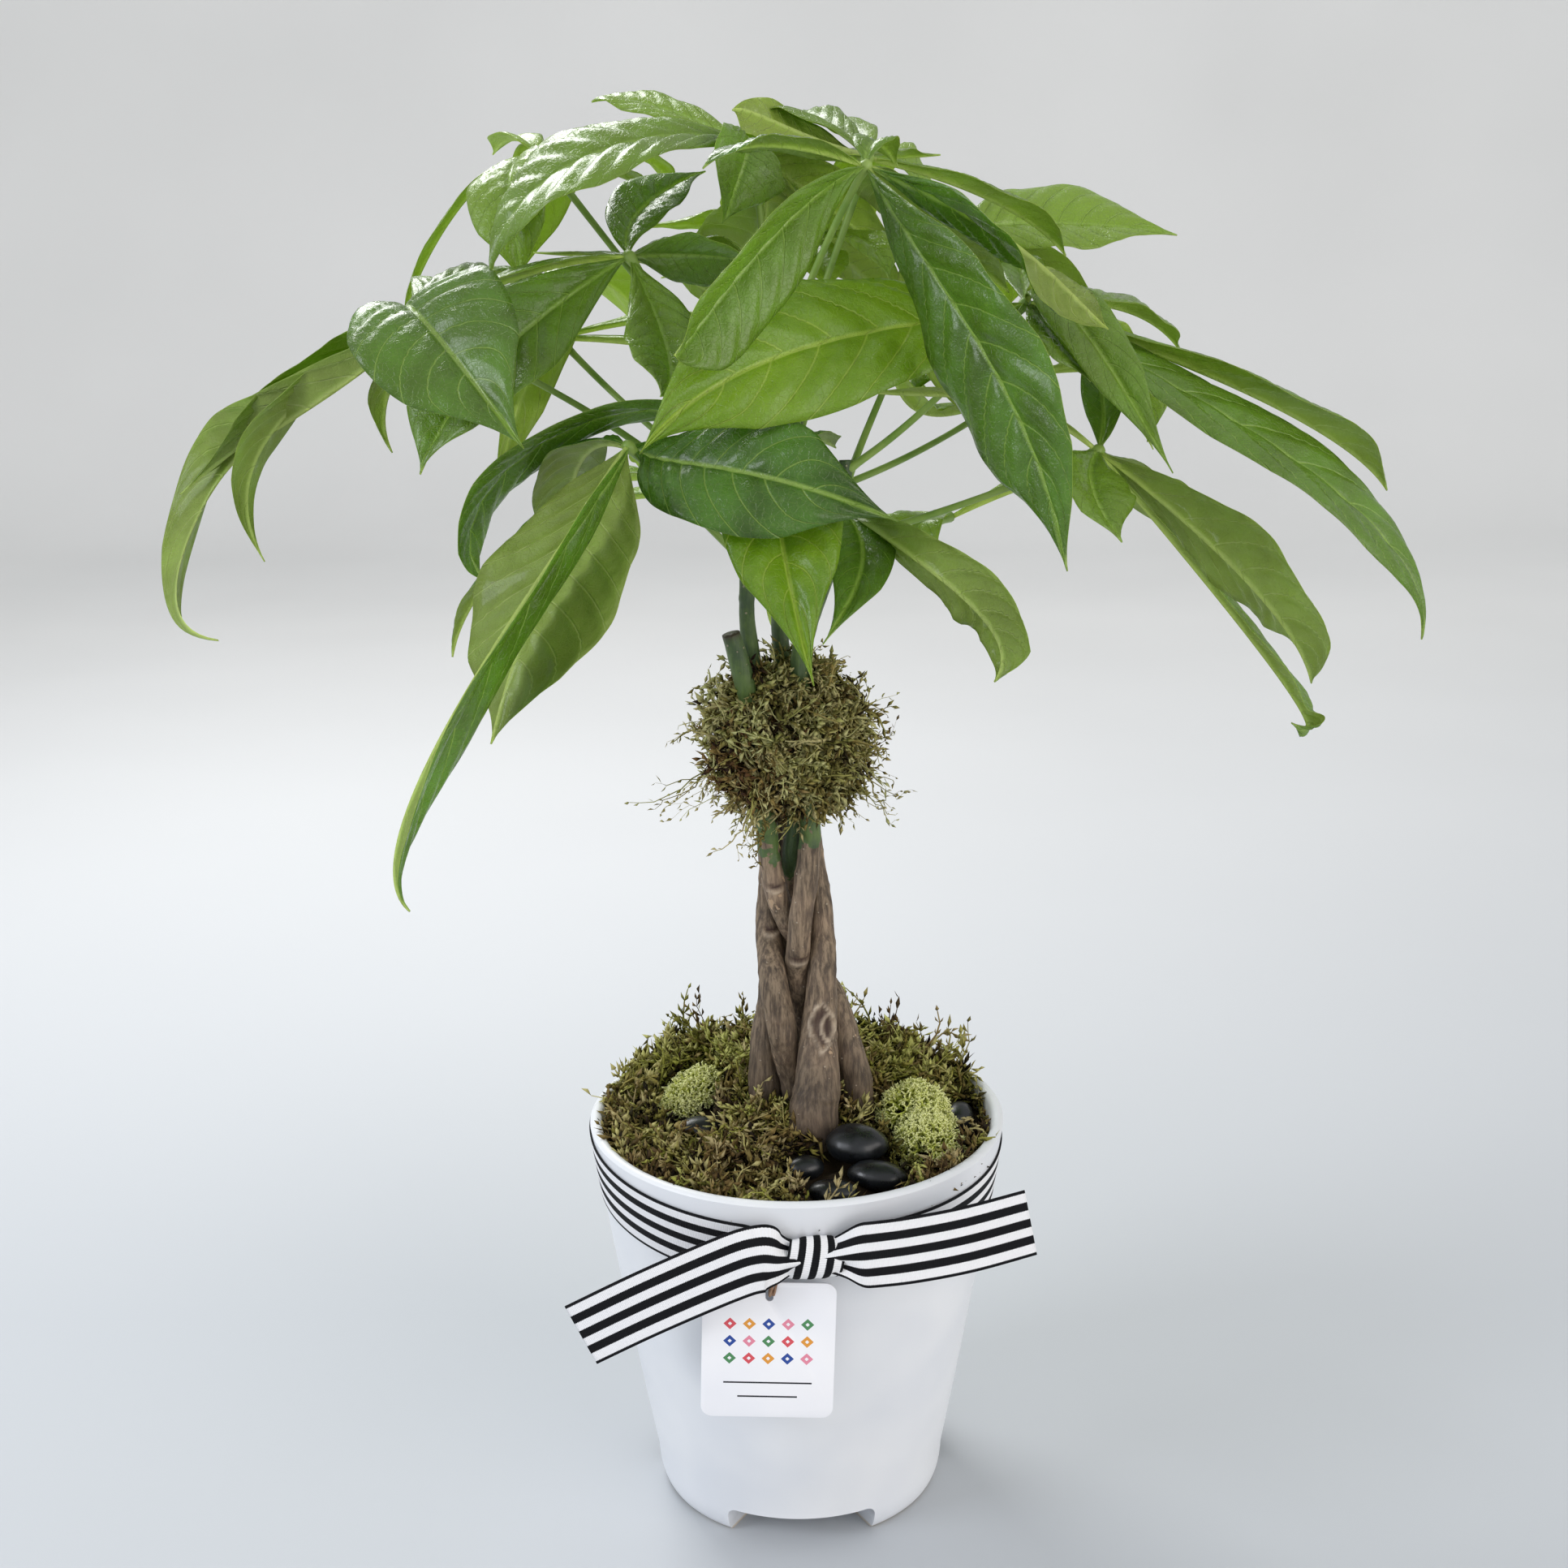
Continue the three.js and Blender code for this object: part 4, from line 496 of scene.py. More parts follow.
leaves = {  # where its leaflets meet, the bends of its stalk, the stem and height it grows from, its leaflets
    "leaf_top_front": ((28, -25, 539), [(17, -18, 519), (4, -5, 497)], ("stem_2", 428), [
        (51, [(22, -47, -40), (55, -63, -73), (65, -73, -132)], (95, 85), 2),
        (39, [(-30, -42, -8), (-69, -51, -65), (-66, -65, -59)], (-95, -100), 32),
        (25, [(-42, -12, 15), (-57, -23, 0)], (30, -5), 2), (18, [(1, 11, 16), (12, 14, -1)]),
        (40, [(53, -8, -21), (67, -22, -42), (84, -22, -56)], (120, 225), 4),
        (28, [(34, 15, -29), (54, 25, -46)]), (24, [(3, 18, -5), (19, 35, -25)])]),
    "leaf_top_back": ((30, 10, 542), [(21, 8, 511), (3, 7, 481)], ("stem_4", 430), [
        (31, [(-26, 25, 6), (-45, 18, 20), (-50, 20, 17)], (170, 160), 2), (20, [(-2, 22, 11), (-19, 51, 13)]),
        (26, [(-13, 23, -2), (30, 46, 0)]), (28, [(57, 8, -14), (78, 33, -38)]),
        (30, [(-26, 45, 29), (-48, 62, -3)])]),
    "leaf_right_upper": ((88, 1, 489), [(52, 0, 447)], ("stem_3", 428), [
        (54, [(-19, -28, -8), (-102, -65, 4), (-140, -75, -44)], (-10, -75), 2),
        (18, [(5, 48, 7), (2, 61, 17)]), (16, [(5, -17, 16), (31, 70, -12)]),
        (39, [(125, 12, -44), (142, 11, -73)], (0, -10)),
        (45, [(16, -9, -15), (153, -22, -67), (149, -24, -124)], (10, 20), 2),
        (30, [(11, -17, -12), (21, -29, -26)]), (25, [(6, -8, 22), (49, -46, -57)], (15, 35), 13),
        (27, [(49, 36, 2), (70, 65, -24)], (-10, 40))]),
    "leaf_left_outer": ((-139, -15, 487), [(-97, 0, 465), (-53, 5, 442)], ("stem_2", 403), [
        (36, [(23, -16, 4), (-132, 29, -98), (-27, 82, 2), (-152, 53, -122), (-73, -21, -114)], (5, 85), 65),
        (25, [(-4, 24, -9), (-91, 22, -38), (-67, 35, -95)], (-10, -5), 8),
        (60, [(-3, -18, 21), (47, -56, -40)], (10, 40), 11), (35, [(22, 51, 28), (2, 66, -28)]),
        (30, [(28, 41, 30), (53, 54, -8)]), (31, [(-16, 30, -7), (-101, 47, -70)])]),
    "leaf_left_upper": ((-58, -5, 508), [(-40, -11, 481), (-13, 16, 437)], ("stem_2", 420), [
        (26, [(-62, -17, 1), (-109, 28, -46), (-94, 17, -73)]),
        (47, [(-58, -33, -33), (-73, -49, -72)], (-65, -5), 13), (26, [(-7, 26, 16), (27, 51, 29)]),
        (25, [(23, 17, 1), (53, 6, -3)], (90, 165), 15), (37, [(23, -31, -43), (13, -54, -45)], (10, -10), 13),
        (10, [(3, 22, -2), (-39, 38, 0)]), (35, [(31, 52, -12), (44, 47, -33)]),
        (28, [(30, 48, 7), (48, 16, -13)])]),
    "leaf_front_low": ((-57, -54, 445), [(-33, -30, 415)], ("stem_2", 393), [
        (50, [(10, 16, -12), (36, -37, 4), (94, -22, -24)], (25, 90), 3),
        (31, [(-4, -74, -9), (-95, -93, -115), (-68, -106, -135)], (-95, -120), 15),
        (73, [(-30, -52, -36), (-45, -63, -91)], (175, 205), 2), (22, [(-62, 3, -45), (-66, -1, -75)]),
        (30, [(-27, 14, 9), (-29, 72, -62)])]),
    "leaf_front_middle": ((-10, -30, 438), [], ("stem_2", 412), [
        (46, [(8, -10, -14), (0, -38, -5), (17, -71, -69)], (0, 15), 15),
        (30, [(-35, -5, 46), (-127, -6, -1), (-111, -3, -38), (-104, 1, -45)], (-140, -170), 5),
        (22, [(15, 18, 8), (28, 49, -4)])]),
    "leaf_right_low": ((115, -12, 436), [(80, -12, 421), (47, -8, 409)], ("stem_3", 402), [
        (47, [(61, -74, -44), (72, -49, -78)], (-80, -45), 9), (24, [(104, -10, -120), (73, -18, -101)]),
        (31, [(-13, -29, -7), (3, -43, -27)], (-30, -35)),
        (14, [(-34, -8, 28), (-58, -9, 20), (-88, -11, 24)], (10, 20)), (16, [(8, 22, 13), (0, 38, 35)]),
        (33, [(5, 65, -19), (84, 92, -61)]), (30, [(-4, 22, -18), (-32, 45, -20)])]),
    "leaf_right_short": ((21.5, -17.5, 416), [], ("stem_3", 409), [
        (40, [(28, -89, -8), (62, -56, -35), (49, -65, -51)], (-75, -70), 6),
        (24, [(-1, -17, -4), (16, -27, -9), (-11, -68, -36)])]),
    "leaf_top_left": ((-14, 16, 547), [(-9, 34, 531), (-10, 24, 482)], ("stem_4", 446), [
        (24, [(-47, 29, 21), (-60, 32, 16)], (-30, 0), 4),
        (54, [(-35, -25, 10), (-88, -30, -6), (-94, -29, -46)], (-25, -5), 2),
        (36, [(2, -16, 2), (-10, -16, -28)], (-30, -65)), (16, [(-19, 48, -3), (30, 56, -12)]),
        (37, [(23, 40, -42), (-38, 87, -53)]), (33, [(2, 49, -5), (67, 31, -51)])]),
    "leaf_far_left_top": ((-92, 46, 541), [(-71, 35, 514), (-41, 25, 478)], ("stem_4", 422), [
        (34, [(-18, -17, 6), (-9, -48, -9), (-7, -41, -44)], (25, -5), 8), (18, [(-12, 12, 16), (-25, 37, 3)]),
        (16, [(34, 11, -3), (38, 28, -14)]), (14, [(44, 31, 10), (45, 53, -14)]),
        (14, [(-25, -2, 13), (-59, -2, -50), (-58, 7, -58)]), (30, [(8, 36, 23), (-24, 57, -54)])]),
    "leaf_rear_right": ((64, 56, 513), [(51, 45, 481), (24, 15, 432)], ("stem_3", 420), [
        (45, [(39, 27, 5), (92, 16, -3)], (45, 20), 9), (42, [(31, 55, 19), (18, 97, -57)]),
        (39, [(-14, 14, 4), (24, 25, -96)]), (33, [(-37, 15, 65), (-32, 49, -19)]),
        (37, [(14, 56, -4), (75, 18, -43)])]),
    "leaf_rear_middle": ((10, 60, 512), [(23, 45, 486)], ("stem_4", 438), [
        (31, [(-20, 48, 5), (-69, 24, 3)], (45, 10), 3), (22, [(2, -20, -9), (6, -45, -17)]),
        (22, [(24, -43, 4), (28, -46, -14)]), (32, [(-9, 45, 12), (34, 29, -28)]),
        (35, [(-10, 56, 23), (-39, 75, -1)]), (30, [(13, 32, -8), (41, 16, -36)])]),
    "leaf_back_left": ((-94, 83, 472), [(-48, 48, 427)], ("stem_4", 406), [
        (26, [(99, -1, -3), (81, -19, -49)]), (30, [(98, 32, 21), (46, 17, -39)]),
        (35, [(-9, 106, 62), (69, 81, -48)]), (38, [(-30, 35, 1), (-57, 64, -48)]),
        (38, [(-38, 29, -13), (-51, 20, -34)]), (29, [(3, -55, 29), (-40, 4, -37)]),
        (27, [(4, 14, 41), (-27, -35, -66)])]),
    "leaf_back_right": ((105, 90, 455), [(53, 52, 422)], ("stem_4", 414), [
        (27, [(-18, -35, -3), (5, -50, -62)]), (31, [(42, -55, 18), (38, -42, -24)]),
        (34, [(54, -13, 7), (74, -14, -24)]), (41, [(8, 32, 47), (63, 91, -45)]),
        (34, [(-24, 55, 21), (-9, 73, -47)]), (33, [(-60, 13, 5), (-44, 2, -3)]),
        (27, [(-63, 18, -43), (-64, -27, 19)])]),
    "leaf_back_top": ((8, 137, 479), [(14, 77, 468)], ("stem_4", 453), [
        (23, [(29, 4, 1), (27, -41, -11)]), (28, [(13, 0, 2), (54, -5, -37)]),
        (34, [(38, 15, 12), (70, 54, -44)]), (39, [(-31, 49, 20), (-7, 75, -73)]),
        (34, [(-24, 48, 1), (-29, 45, -44)]), (30, [(-30, 8, 0), (-52, -3, -53)]),
        (26, [(1, -62, 26), (-42, -68, -11)])]),
    "leaf_back_low_left": ((-47, 117, 401), [(-25, 65, 383)], ("stem_4", 389), [
        (26, [(18, -2, 10), (30, 8, -55)]), (33, [(41, 26, 12), (52, 39, -57)]),
        (38, [(-11, 55, 19), (-1, 100, -19)]), (42, [(-66, 39, 1), (-70, 60, -78)]),
        (34, [(-33, -12, 30), (-61, -15, -42)]), (28, [(-18, -35, 27), (9, -61, 13)])]),
    "leaf_back_low_right": ((70, 120, 390), [(34, 67, 382)], ("stem_4", 398), [
        (28, [(-28, -50, 9), (-9, -4, -20)]), (32, [(78, -35, 47), (100, -24, -13)]),
        (40, [(87, 43, 31), (80, 60, -6)]), (39, [(-16, 69, -9), (-69, 88, -48)]),
        (33, [(-103, -24, -15), (-61, 26, -58)]), (27, [(-67, 18, -21), (-50, 19, -27)])]),
}

# living leaf blade: waxy and glossy above, paler and duller below, thin enough to let light through
def makeBladeSkin(name, dark, light, vein, fresh, rough, through):
    material, add = newMaterial(name)
    where = add("TexCoord", out="Object")
    phase = add("Attribute", out="Fac", attribute_name="phase")  # counts the side veins along the leaf
    rib = add("Attribute", out="Fac", attribute_name="rib")  # mm from the midrib
    tone = add("Attribute", out="Fac", attribute_name="tone")
    cycle = add("Math", {0: phase}, operation="FRACT")
    away = add("Math", {0: cycle, 1: 0.5}, operation="SUBTRACT")
    away = add("Math", {0: away}, operation="ABSOLUTE")
    nearVein = add("MapRange", {0: away, 1: 0.25, 2: 0.5, 4: 0.45})
    sideVein = add("MapRange", {0: away, 1: 0.452, 2: 0.492})
    midVein = add("MapRange", {0: rib, 1: 1.15, 2: 0.45})
    cells = add("TexVoronoi", {"Vector": where, "Scale": perMetre(2.4)}, feature="DISTANCE_TO_EDGE")
    net = add("MapRange", {0: cells, 1: 0.07, 2: 0.0})  # the net of small veins, about 2.4 mm across
    pads = add("TexVoronoi", {"Vector": where, "Scale": perMetre(6.5), "Smoothness": 0.6}, feature="SMOOTH_F1")
    cloud = add("TexNoise", {"Vector": where, "Scale": perMetre(20), "Detail": 3})
    colour = add("ValToRGB", {0: cloud}, stops=[(0.32, dark), (0.68, light)])
    colour = add("Mix", {0: nearVein, 6: colour, 7: light})
    # the tone mixes in the fresh colour: a random share for each leaflet, and a painted paleness on the leaves
    # at the back for light shining through them from behind
    colour = add("Mix", {0: tone, 6: colour, 7: fresh})
    for share, line in ((0.14, net), (0.6, sideVein), (0.8, midVein)):
        weight = add("Math", {0: line, 1: share}, operation="MULTIPLY")
        colour = add("Mix", {0: weight, 6: colour, 7: vein})
    fine = add("TexNoise", {"Vector": where, "Scale": perMetre(0.9), "Detail": 2})
    relief = add("Math", {0: net, 1: -0.3, 2: fine}, operation="MULTIPLY_ADD")
    relief = add("Math", {0: sideVein, 1: -1.2, 2: relief}, operation="MULTIPLY_ADD")
    relief = add("Math", {0: pads, 1: -3.4, 2: relief}, operation="MULTIPLY_ADD")  # puffed pads between veins
    normal = add("Bump", {"Height": relief, "Distance": 0.36 * mm, "Strength": 0.85})
    wax = add("TexNoise", {"Vector": where, "Scale": perMetre(9), "Detail": 2})
    gloss = add("MapRange", {0: wax, 1: 0.3, 2: 0.7, 3: rough - 0.05, 4: rough + 0.08})
    surface = add("BsdfPrincipled", {"Base Color": colour, "Roughness": gloss, "IOR": 1.43, "Coat Weight": 0.35,
                                     "Coat Roughness": 0.17, "Normal": normal})
    bright = add("HueSaturation", {"Color": colour, "Saturation": 1.05, "Value": 2.4})
    glow = add("BsdfTranslucent", {"Color": bright, "Normal": normal})
    add("OutputMaterial", {"Surface": add("MixShader", {0: through, 1: surface, 2: glow})})
    return material


def makeStalkSkin():  # living green stalk: smooth, slightly glossy, with faint lengthwise streaks
    material, add = newMaterial("greenStalk")
    where = add("TexCoord", out="Object")
    cloud = add("TexNoise", {"Vector": where, "Scale": perMetre(12), "Detail": 3})
    colour = add("ValToRGB", {0: cloud}, stops=[(0.35, "#70913A"), (0.65, "#8CA651")])
    streak = add("TexNoise", {"Vector": where, "Scale": perMetre(1.2), "Detail": 3})
    normal = add("Bump", {"Height": streak, "Distance": 0.15 * mm, "Strength": 0.5})
    shader = add("BsdfPrincipled", {"Base Color": colour, "Roughness": 0.42, "IOR": 1.45, "Normal": normal})
    add("OutputMaterial", {"Surface": shader})
    return material


darkTop = makeBladeSkin("matureLeafTop", "#24480F", "#467422", "#98B458", "#92AE3C", 0.25, 0.22)
darkUnder = makeBladeSkin("matureLeafUnderside", "#84983F", "#9DB054", "#C2CC82", "#ACBA56", 0.48, 0.42)
limeTop = makeBladeSkin("youngLeafTop", "#608414", "#7A9A20", "#B0C45A", "#88A82C", 0.3, 0.28)
limeUnder = makeBladeSkin("youngLeafUnderside", "#86A034", "#9CB044", "#BCC96E", "#A6B84E", 0.5, 0.42)
stalkSkin = makeStalkSkin()


blade = {"veinPairs": 10, "thickness": 0.45, "bulge": 1.9, "wave": 1.4, "midrib": 1.25, "groove": 0.5,
         "widestAt": 0.56, "halfColumns": 11, "narrowHalfColumns": 6, "rowEvery": 1.9}
limeLeaflets = {"leaf_right_upper": 0, "leaf_front_middle": 0}  # the youngest leaflets are lime


def stemPoint(name, height):  # the middle of a stem at a height
    route = stemRoutes[name]
    below = next(i for i, point in enumerate(route) if point[2] <= height)
    upper, lower = np.array(route[below - 1][:3], float), np.array(route[below][:3], float)
    return upper + (lower - upper) * (upper[2] - height) / (upper[2] - lower[2])


def halfWidth(t, width):
    power = blade["widestAt"] / (1 - blade["widestAt"])
    peak = blade["widestAt"]**power * (1 - blade["widestAt"])
    drawn = np.minimum(1, (1 - t) / 0.22)**0.6  # the tip is drawn out to a point
    return np.maximum(0.22, 0.5 * width * t**power * (1 - t) / peak * drawn)


def leafletParts(hub, first, rand, youngWoodAndBacklitLeaf, width, route, roll=(0, 0), fold=14):
    length = math.dist((0, 0, 0), route[-1])
    steps = (6 if length > 70 else 4) + (2 if len(route) > 3 else 0)
    pulls = np.array([(0, 0, 0), *route], float) + hub
    ahead, side, up = carriedFrames(bezier(pulls, np.linspace(0, 1, steps + 1)))
    roll = np.linspace(*np.radians(roll), steps + 1)[:, None]
    across = side * np.cos(roll) + up * np.sin(roll)
    rows = int(np.clip(length / blade["rowEvery"], 22, 84))
    half = blade["halfColumns"] if width > 22 else blade["narrowHalfColumns"]
    t = np.linspace(0, 1, rows + 1)
    rib = bezier(pulls, t)
    ahead = unit(np.gradient(rib, axis=0))
    across = smoothBetween(across, t * steps)
    across = unit(across - ahead * (across * ahead).sum(1, keepdims=True))
    face = np.cross(ahead, across)
    t = t[:, None]
    v = np.linspace(-1, 1, 2 * half + 1)
    v = np.sign(v) * np.abs(v)**1.25
    far = np.abs(v)[None, :]
    reach = halfWidth(t, width)
    size = min(1.25, width / 42)
    phase = blade["veinPairs"] * (t - 0.1 * far - 0.09 * far**2) + np.where(v < 0, 0.3, 0) + rand.random()
    middle = np.sin(math.pi * t).clip(0)
    swell = np.abs(np.sin(math.pi * phase))**0.9 * (4 * far * (1.02 - far)).clip(0)**0.7
    swell *= blade["bulge"] * size * middle**0.5 * (0.7 + 0.6 * rand.random())  # puffed up between the veins
    turn = np.where(v < 0, rand.random() * 6.28, rand.random() * 6.28)
    wave = np.sin(6.28 * (2.2 + 1.6 * rand.random()) * t + turn) * blade["wave"] * size * far**2.5 * middle
    lift = reach * math.sin(math.radians(fold)) * far + 0.2 * reach * far * (1 - far) + swell + wave
    gap = far * reach  # distance from the midrib
    thick = blade["thickness"] * (1 - 0.6 * far**4) / 2
    groove = blade["groove"] * np.exp(-(gap / 0.8)**2) * np.minimum(1, reach / 6)
    ridge = (blade["midrib"] * (1 - t)**0.6 * min(1, 0.35 + length / 160) + 0.15) * np.exp(-(gap / 1.0)**2)
    flat = rib[:, None] + across[:, None] * (reach * math.cos(math.radians(fold)) * v)[..., None]
    top = flat + face[:, None] * (lift + thick - groove)[..., None]
    under = flat + face[:, None] * (lift - thick - ridge)[..., None]
    index = numbered(rows + 1, len(v)) + first
    border = np.concatenate([index[0], index[1:, -1], index[-1, -2::-1], index[-2::-1, 0]])
    layers = np.stack([border, border + index.size])
    faces = gridFaces(index, flip=True) + gridFaces(index + index.size) + gridFaces(layers)
    slots = [0] * (rows * (len(v) - 1)) + [1] * (rows * (len(v) - 1) + len(border) - 1)
    # painted light: the tone is a painted paleness on the leaves at the back, for light shining through them
    # from behind, plus a random share for each leaflet
    tone = np.full(2 * index.size, youngWoodAndBacklitLeaf + 0.3 * rand.random() * (1 if width < 40 else 0.4))
    points = np.vstack([top.reshape(-1, 3), under.reshape(-1, 3)])
    return points, faces, slots, np.array([np.tile(gap.ravel(), 2), np.tile(phase.ravel(), 2), tone])


def makeLeaf(name, number, hub, stalk, foot, leaflets):
    rand = random.Random(100 + number)
    hub = np.array(hub, float)
    youngWoodAndBacklitLeaf = float(np.clip(0.3 + hub[1] / 150, 0, 0.8))  # painted light: leaves further back are painted paler, for the light that shines through them from behind
    t = np.linspace(0, 1, 26)
    line = bezier([hub, *stalk, stemPoint(*foot)], t)
    line = np.vstack([line[0] - unit(line[1] - line[0]) * 2.2, line])
    t = np.concatenate([[0], t])
    radii = 1.25 + 0.55 * np.abs(t - 0.4) + 1.1 * np.exp(-(t / 0.035)**2) + 0.7 * np.exp(-((1 - t) / 0.05)**2)
    radii[0] = 1.3
    points, faces = tubeParts(line, radii, 10)
    parts, slots, marks = [points], [2] * len(faces), [np.zeros((3, len(points)))]
    for place, leaflet in enumerate(leaflets):
        points, more, slot, mark = leafletParts(hub, sum(len(p) for p in parts), rand, youngWoodAndBacklitLeaf, *leaflet)
        parts.append(points)
        faces += more
        slots += [side + (3 if limeLeaflets.get(name) == place else 0) for side in slot]
        marks.append(mark)
    made = meshObject(name + "_fine", np.vstack(parts), faces, slots)
    for key, values in zip(("rib", "phase", "tone"), np.hstack(marks)):
        addAttribute(made, key, values)
    skins = [darkTop, darkUnder, stalkSkin, limeTop, limeUnder]
    finishPiece(made, skins, [name])


for number, (name, leaf) in enumerate(leaves.items()):
    makeLeaf(name, number, *leaf)
print("leaves made")

# preserved sheet moss: dry feathery strands, brown and olive inside, yellow-green at the living tips
def makeMossSkin(name, dry, living):
    material, add = newMaterial(name)
    where = add("TexCoord", out="Object")
    tone = add("Attribute", out="Fac", attribute_name="tone")
    fresh = add("Attribute", out="Fac", attribute_name="fresh")  # 0 dry and brown, 1 living and green
    cloud = add("TexNoise", {"Vector": where, "Scale": perMetre(5), "Detail": 3})
    shade = add("Math", {0: cloud, 1: 0.5, 2: tone}, operation="MULTIPLY_ADD")
    shade = add("Math", {0: shade, 1: 0.25}, operation="SUBTRACT", use_clamp=True)
    brown = add("ValToRGB", {0: shade}, stops=list(zip((0.05, 0.35, 0.65, 0.95), dry)))
    green = add("ValToRGB", {0: shade}, stops=list(zip((0.05, 0.35, 0.65, 0.95), living)))
    colour = add("Mix", {0: fresh, 6: brown, 7: green})
    fine = add("TexNoise", {"Vector": where, "Scale": perMetre(0.7), "Detail": 2})
    normal = add("Bump", {"Height": fine, "Distance": 0.3 * mm, "Strength": 0.6})
    surface = add("BsdfPrincipled", {"Base Color": colour, "Roughness": 0.8, "IOR": 1.35, "Normal": normal})
    glow = add("BsdfTranslucent", {"Color": colour})
    add("OutputMaterial", {"Surface": add("MixShader", {0: 0.25, 1: surface, 2: glow})})
    return material


def strandMesh(lines, radii, barbs, barbLength, rand, tones):  # thin three-sided strands with feathery barbs
    count, steps = lines.shape[:2]
    ahead = unit(np.gradient(lines, axis=1))
    side = unit(np.cross(ahead, unit(rand.normal(size=(count, 1, 3)))))
    up = np.cross(ahead, side)
    turn = (np.arange(3) * 2 * math.pi / 3)[:, None]
    thin = (radii[:, None] * np.linspace(1, 0.3, steps))[..., None, None]
    ring = side[:, :, None] * 1.5 * np.cos(turn) + up[:, :, None] * 0.6 * np.sin(turn)
    tube = lines[:, :, None] + thin * ring
    spots = (1 + (np.arange(barbs) * (steps - 2)) // (barbs - 1)).clip(1, steps - 1)
    angle = rand.random((count, barbs))[..., None] * 6.28
    along, foot = ahead[:, spots], lines[:, spots]
    outward = side[:, spots] * np.cos(angle) + up[:, spots] * np.sin(angle)
    lean = unit(outward * 0.75 + along * 0.9)
    reach = barbLength * rand.uniform(0.5, 1.25, (count, barbs))[..., None]
    wide = np.cross(along, outward) * (0.14 * reach + 0.15)
    belly = foot + lean * reach * 0.4 + outward * 0.12 * reach
    hook = (rand.random((count, barbs, 1)) - 0.3) * 0.5 * reach
    barb = np.stack([foot, belly + wide, belly - wide, foot + lean * reach - outward * hook], 2)
    points = np.concatenate([tube.reshape(count, -1, 3), barb.reshape(count, -1, 3)], 1)
    tone = np.concatenate([np.repeat(tones[:, None] + np.linspace(-0.1, 0.25, steps), 3, axis=1),
                           np.repeat(tones[:, None] + rand.uniform(0, 0.3, (count, barbs)), 4, axis=1)], 1)
    last = steps * 3
    strand = gridFaces(numbered(steps, 3, wrap=True)) + [(2, 1, 0), (last - 3, last - 2, last - 1)]
    for face in ((0, 2, 1), (0, 1, 3), (1, 2, 3), (2, 0, 3)):
        strand += [[last + b * 4 + k for k in face] for b in range(barbs)]
    size = points.shape[1]
    faces = [[n * size + k for k in face] for n in range(count) for face in strand]
    return points.reshape(-1, 3), faces, tone.ravel(), size


# tones and fresh hold a value for each line, or else the range that they are drawn from
def mossPiece(name, lines, thick, barbs, barbLength, tones, fresh, skin, node, rand):
    radii = rand.uniform(*thick, len(lines))
    tones = rand.uniform(*tones, len(lines)) if isinstance(tones, tuple) else tones
    points, faces, tone, size = strandMesh(lines, radii, barbs, barbLength, rand, tones)
    fresh = rand.uniform(*fresh, len(lines)) if isinstance(fresh, tuple) else fresh
    made = meshObject(name, points, faces)
    addAttribute(made, "tone", tone)
    addAttribute(made, "fresh", np.repeat(fresh, size))
    finishPiece(made, [skin], [node])


def wander(starts, heads, lengths, steps, curl, sag, rand):  # curly lines that wander on from their starts
    heads = unit(heads)
    bend = unit(rand.normal(size=heads.shape))
    lines = [starts]
    for _ in range(steps - 1):
        bend = unit(bend + rand.normal(size=heads.shape) * 0.5)
        heads = unit(heads + bend * curl - np.array([0, 0, sag]))
        lines.append(lines[-1] + heads * (lengths / (steps - 1))[:, None])
    return np.stack(lines, 1)


pebbleStones = {  # middle, half sizes and turn
    "pebble_1": ((-40.7, -4, 157.5), (10, 7, 6), 10),
    "pebble_2": ((23.5, -31, 164), (12.5, 9.5, 7.5), -12),
    "pebble_3": ((31.5, -46, 157.5), (12, 7.5, 5.5), -15),
    "pebble_4": ((2.5, -38.5, 157.5), (8, 6, 5), 12),
    "pebble_5": ((13.5, -55.5, 155.5), (10, 6, 4.5), -6),
    "pebble_6": ((67.3, 7, 157), (6.5, 8.5, 6.5), -10),
}
lichens = {  # each lobe is shifted from the clump's middle and scaled from its half sizes
    "lichen_left": {"at": (-43.7, 19, 161.5), "half": (12, 10.5, 10), "twigs": 260,
                    "lobes": [((0, 0, 0), (1, 1, 1)), ((-4, -3, -3), (0.75, 0.8, 0.7)),
                              ((4, 2, 2), (0.7, 0.7, 0.9))]},
    "lichen_right": {"at": (49.5, -7, 161), "half": (14, 15, 13), "twigs": 380,
                     "lobes": [((-1, 3, 1), (0.9, 0.8, 0.95)), ((3, -15, -4), (0.75, 0.7, 0.75)),
                               ((4, -7, -3), (0.7, 0.7, 0.7))]},
}
moss = {"bedRadius": 78, "bedUnderside": 146.6, "strands": 1900, "curls": 520, "sprigs": 900}
collar = {"at": (-2, 1, 325), "half": (27, 24, 26), "strands": 1650, "curls": 300, "wisps": 190,
          "clumps": [(-0.4, -0.35, 0.4), (0.4, -0.3, 0.2), (0.38, -0.2, -0.5), (-0.45, -0.3, -0.45),
                     (0, 0.4, 0.1), (-0.1, -0.55, -0.1), (0.1, 0.35, -0.4), (0.05, 0.1, 0.5)],
          "farWisps": [((-24, -8, 318), (-62, -20, 301)), ((22, -10, 314), (44, -22, 300)),
                       ((-14, -20, 300), (-22, -26, 282))]}


def mossHeight(x, y):
    mound = 12 * np.exp(-(np.hypot(x, y - 12) / 42)**2)
    waves = 1.6 * np.sin(0.21 * x + 1) * np.cos(0.19 * y) + 0.9 * np.sin(0.47 * x - 0.33 * y)
    return 154 + mound + 13 * np.maximum(0, y) / 78 + waves


def onMoss(angle, radius, lift):  # places over the moss bed
    x, y = radius * np.cos(angle), radius * np.sin(angle)
    return np.stack([x, y, mossHeight(x, y) + lift], 1)


def keepWithin(lines, limit):  # strands press against the wall of the pot
    far = np.hypot(lines[..., 0], lines[..., 1])
    lines[..., :2] *= (np.minimum(far, limit) / np.maximum(far, 1e-6))[..., None]


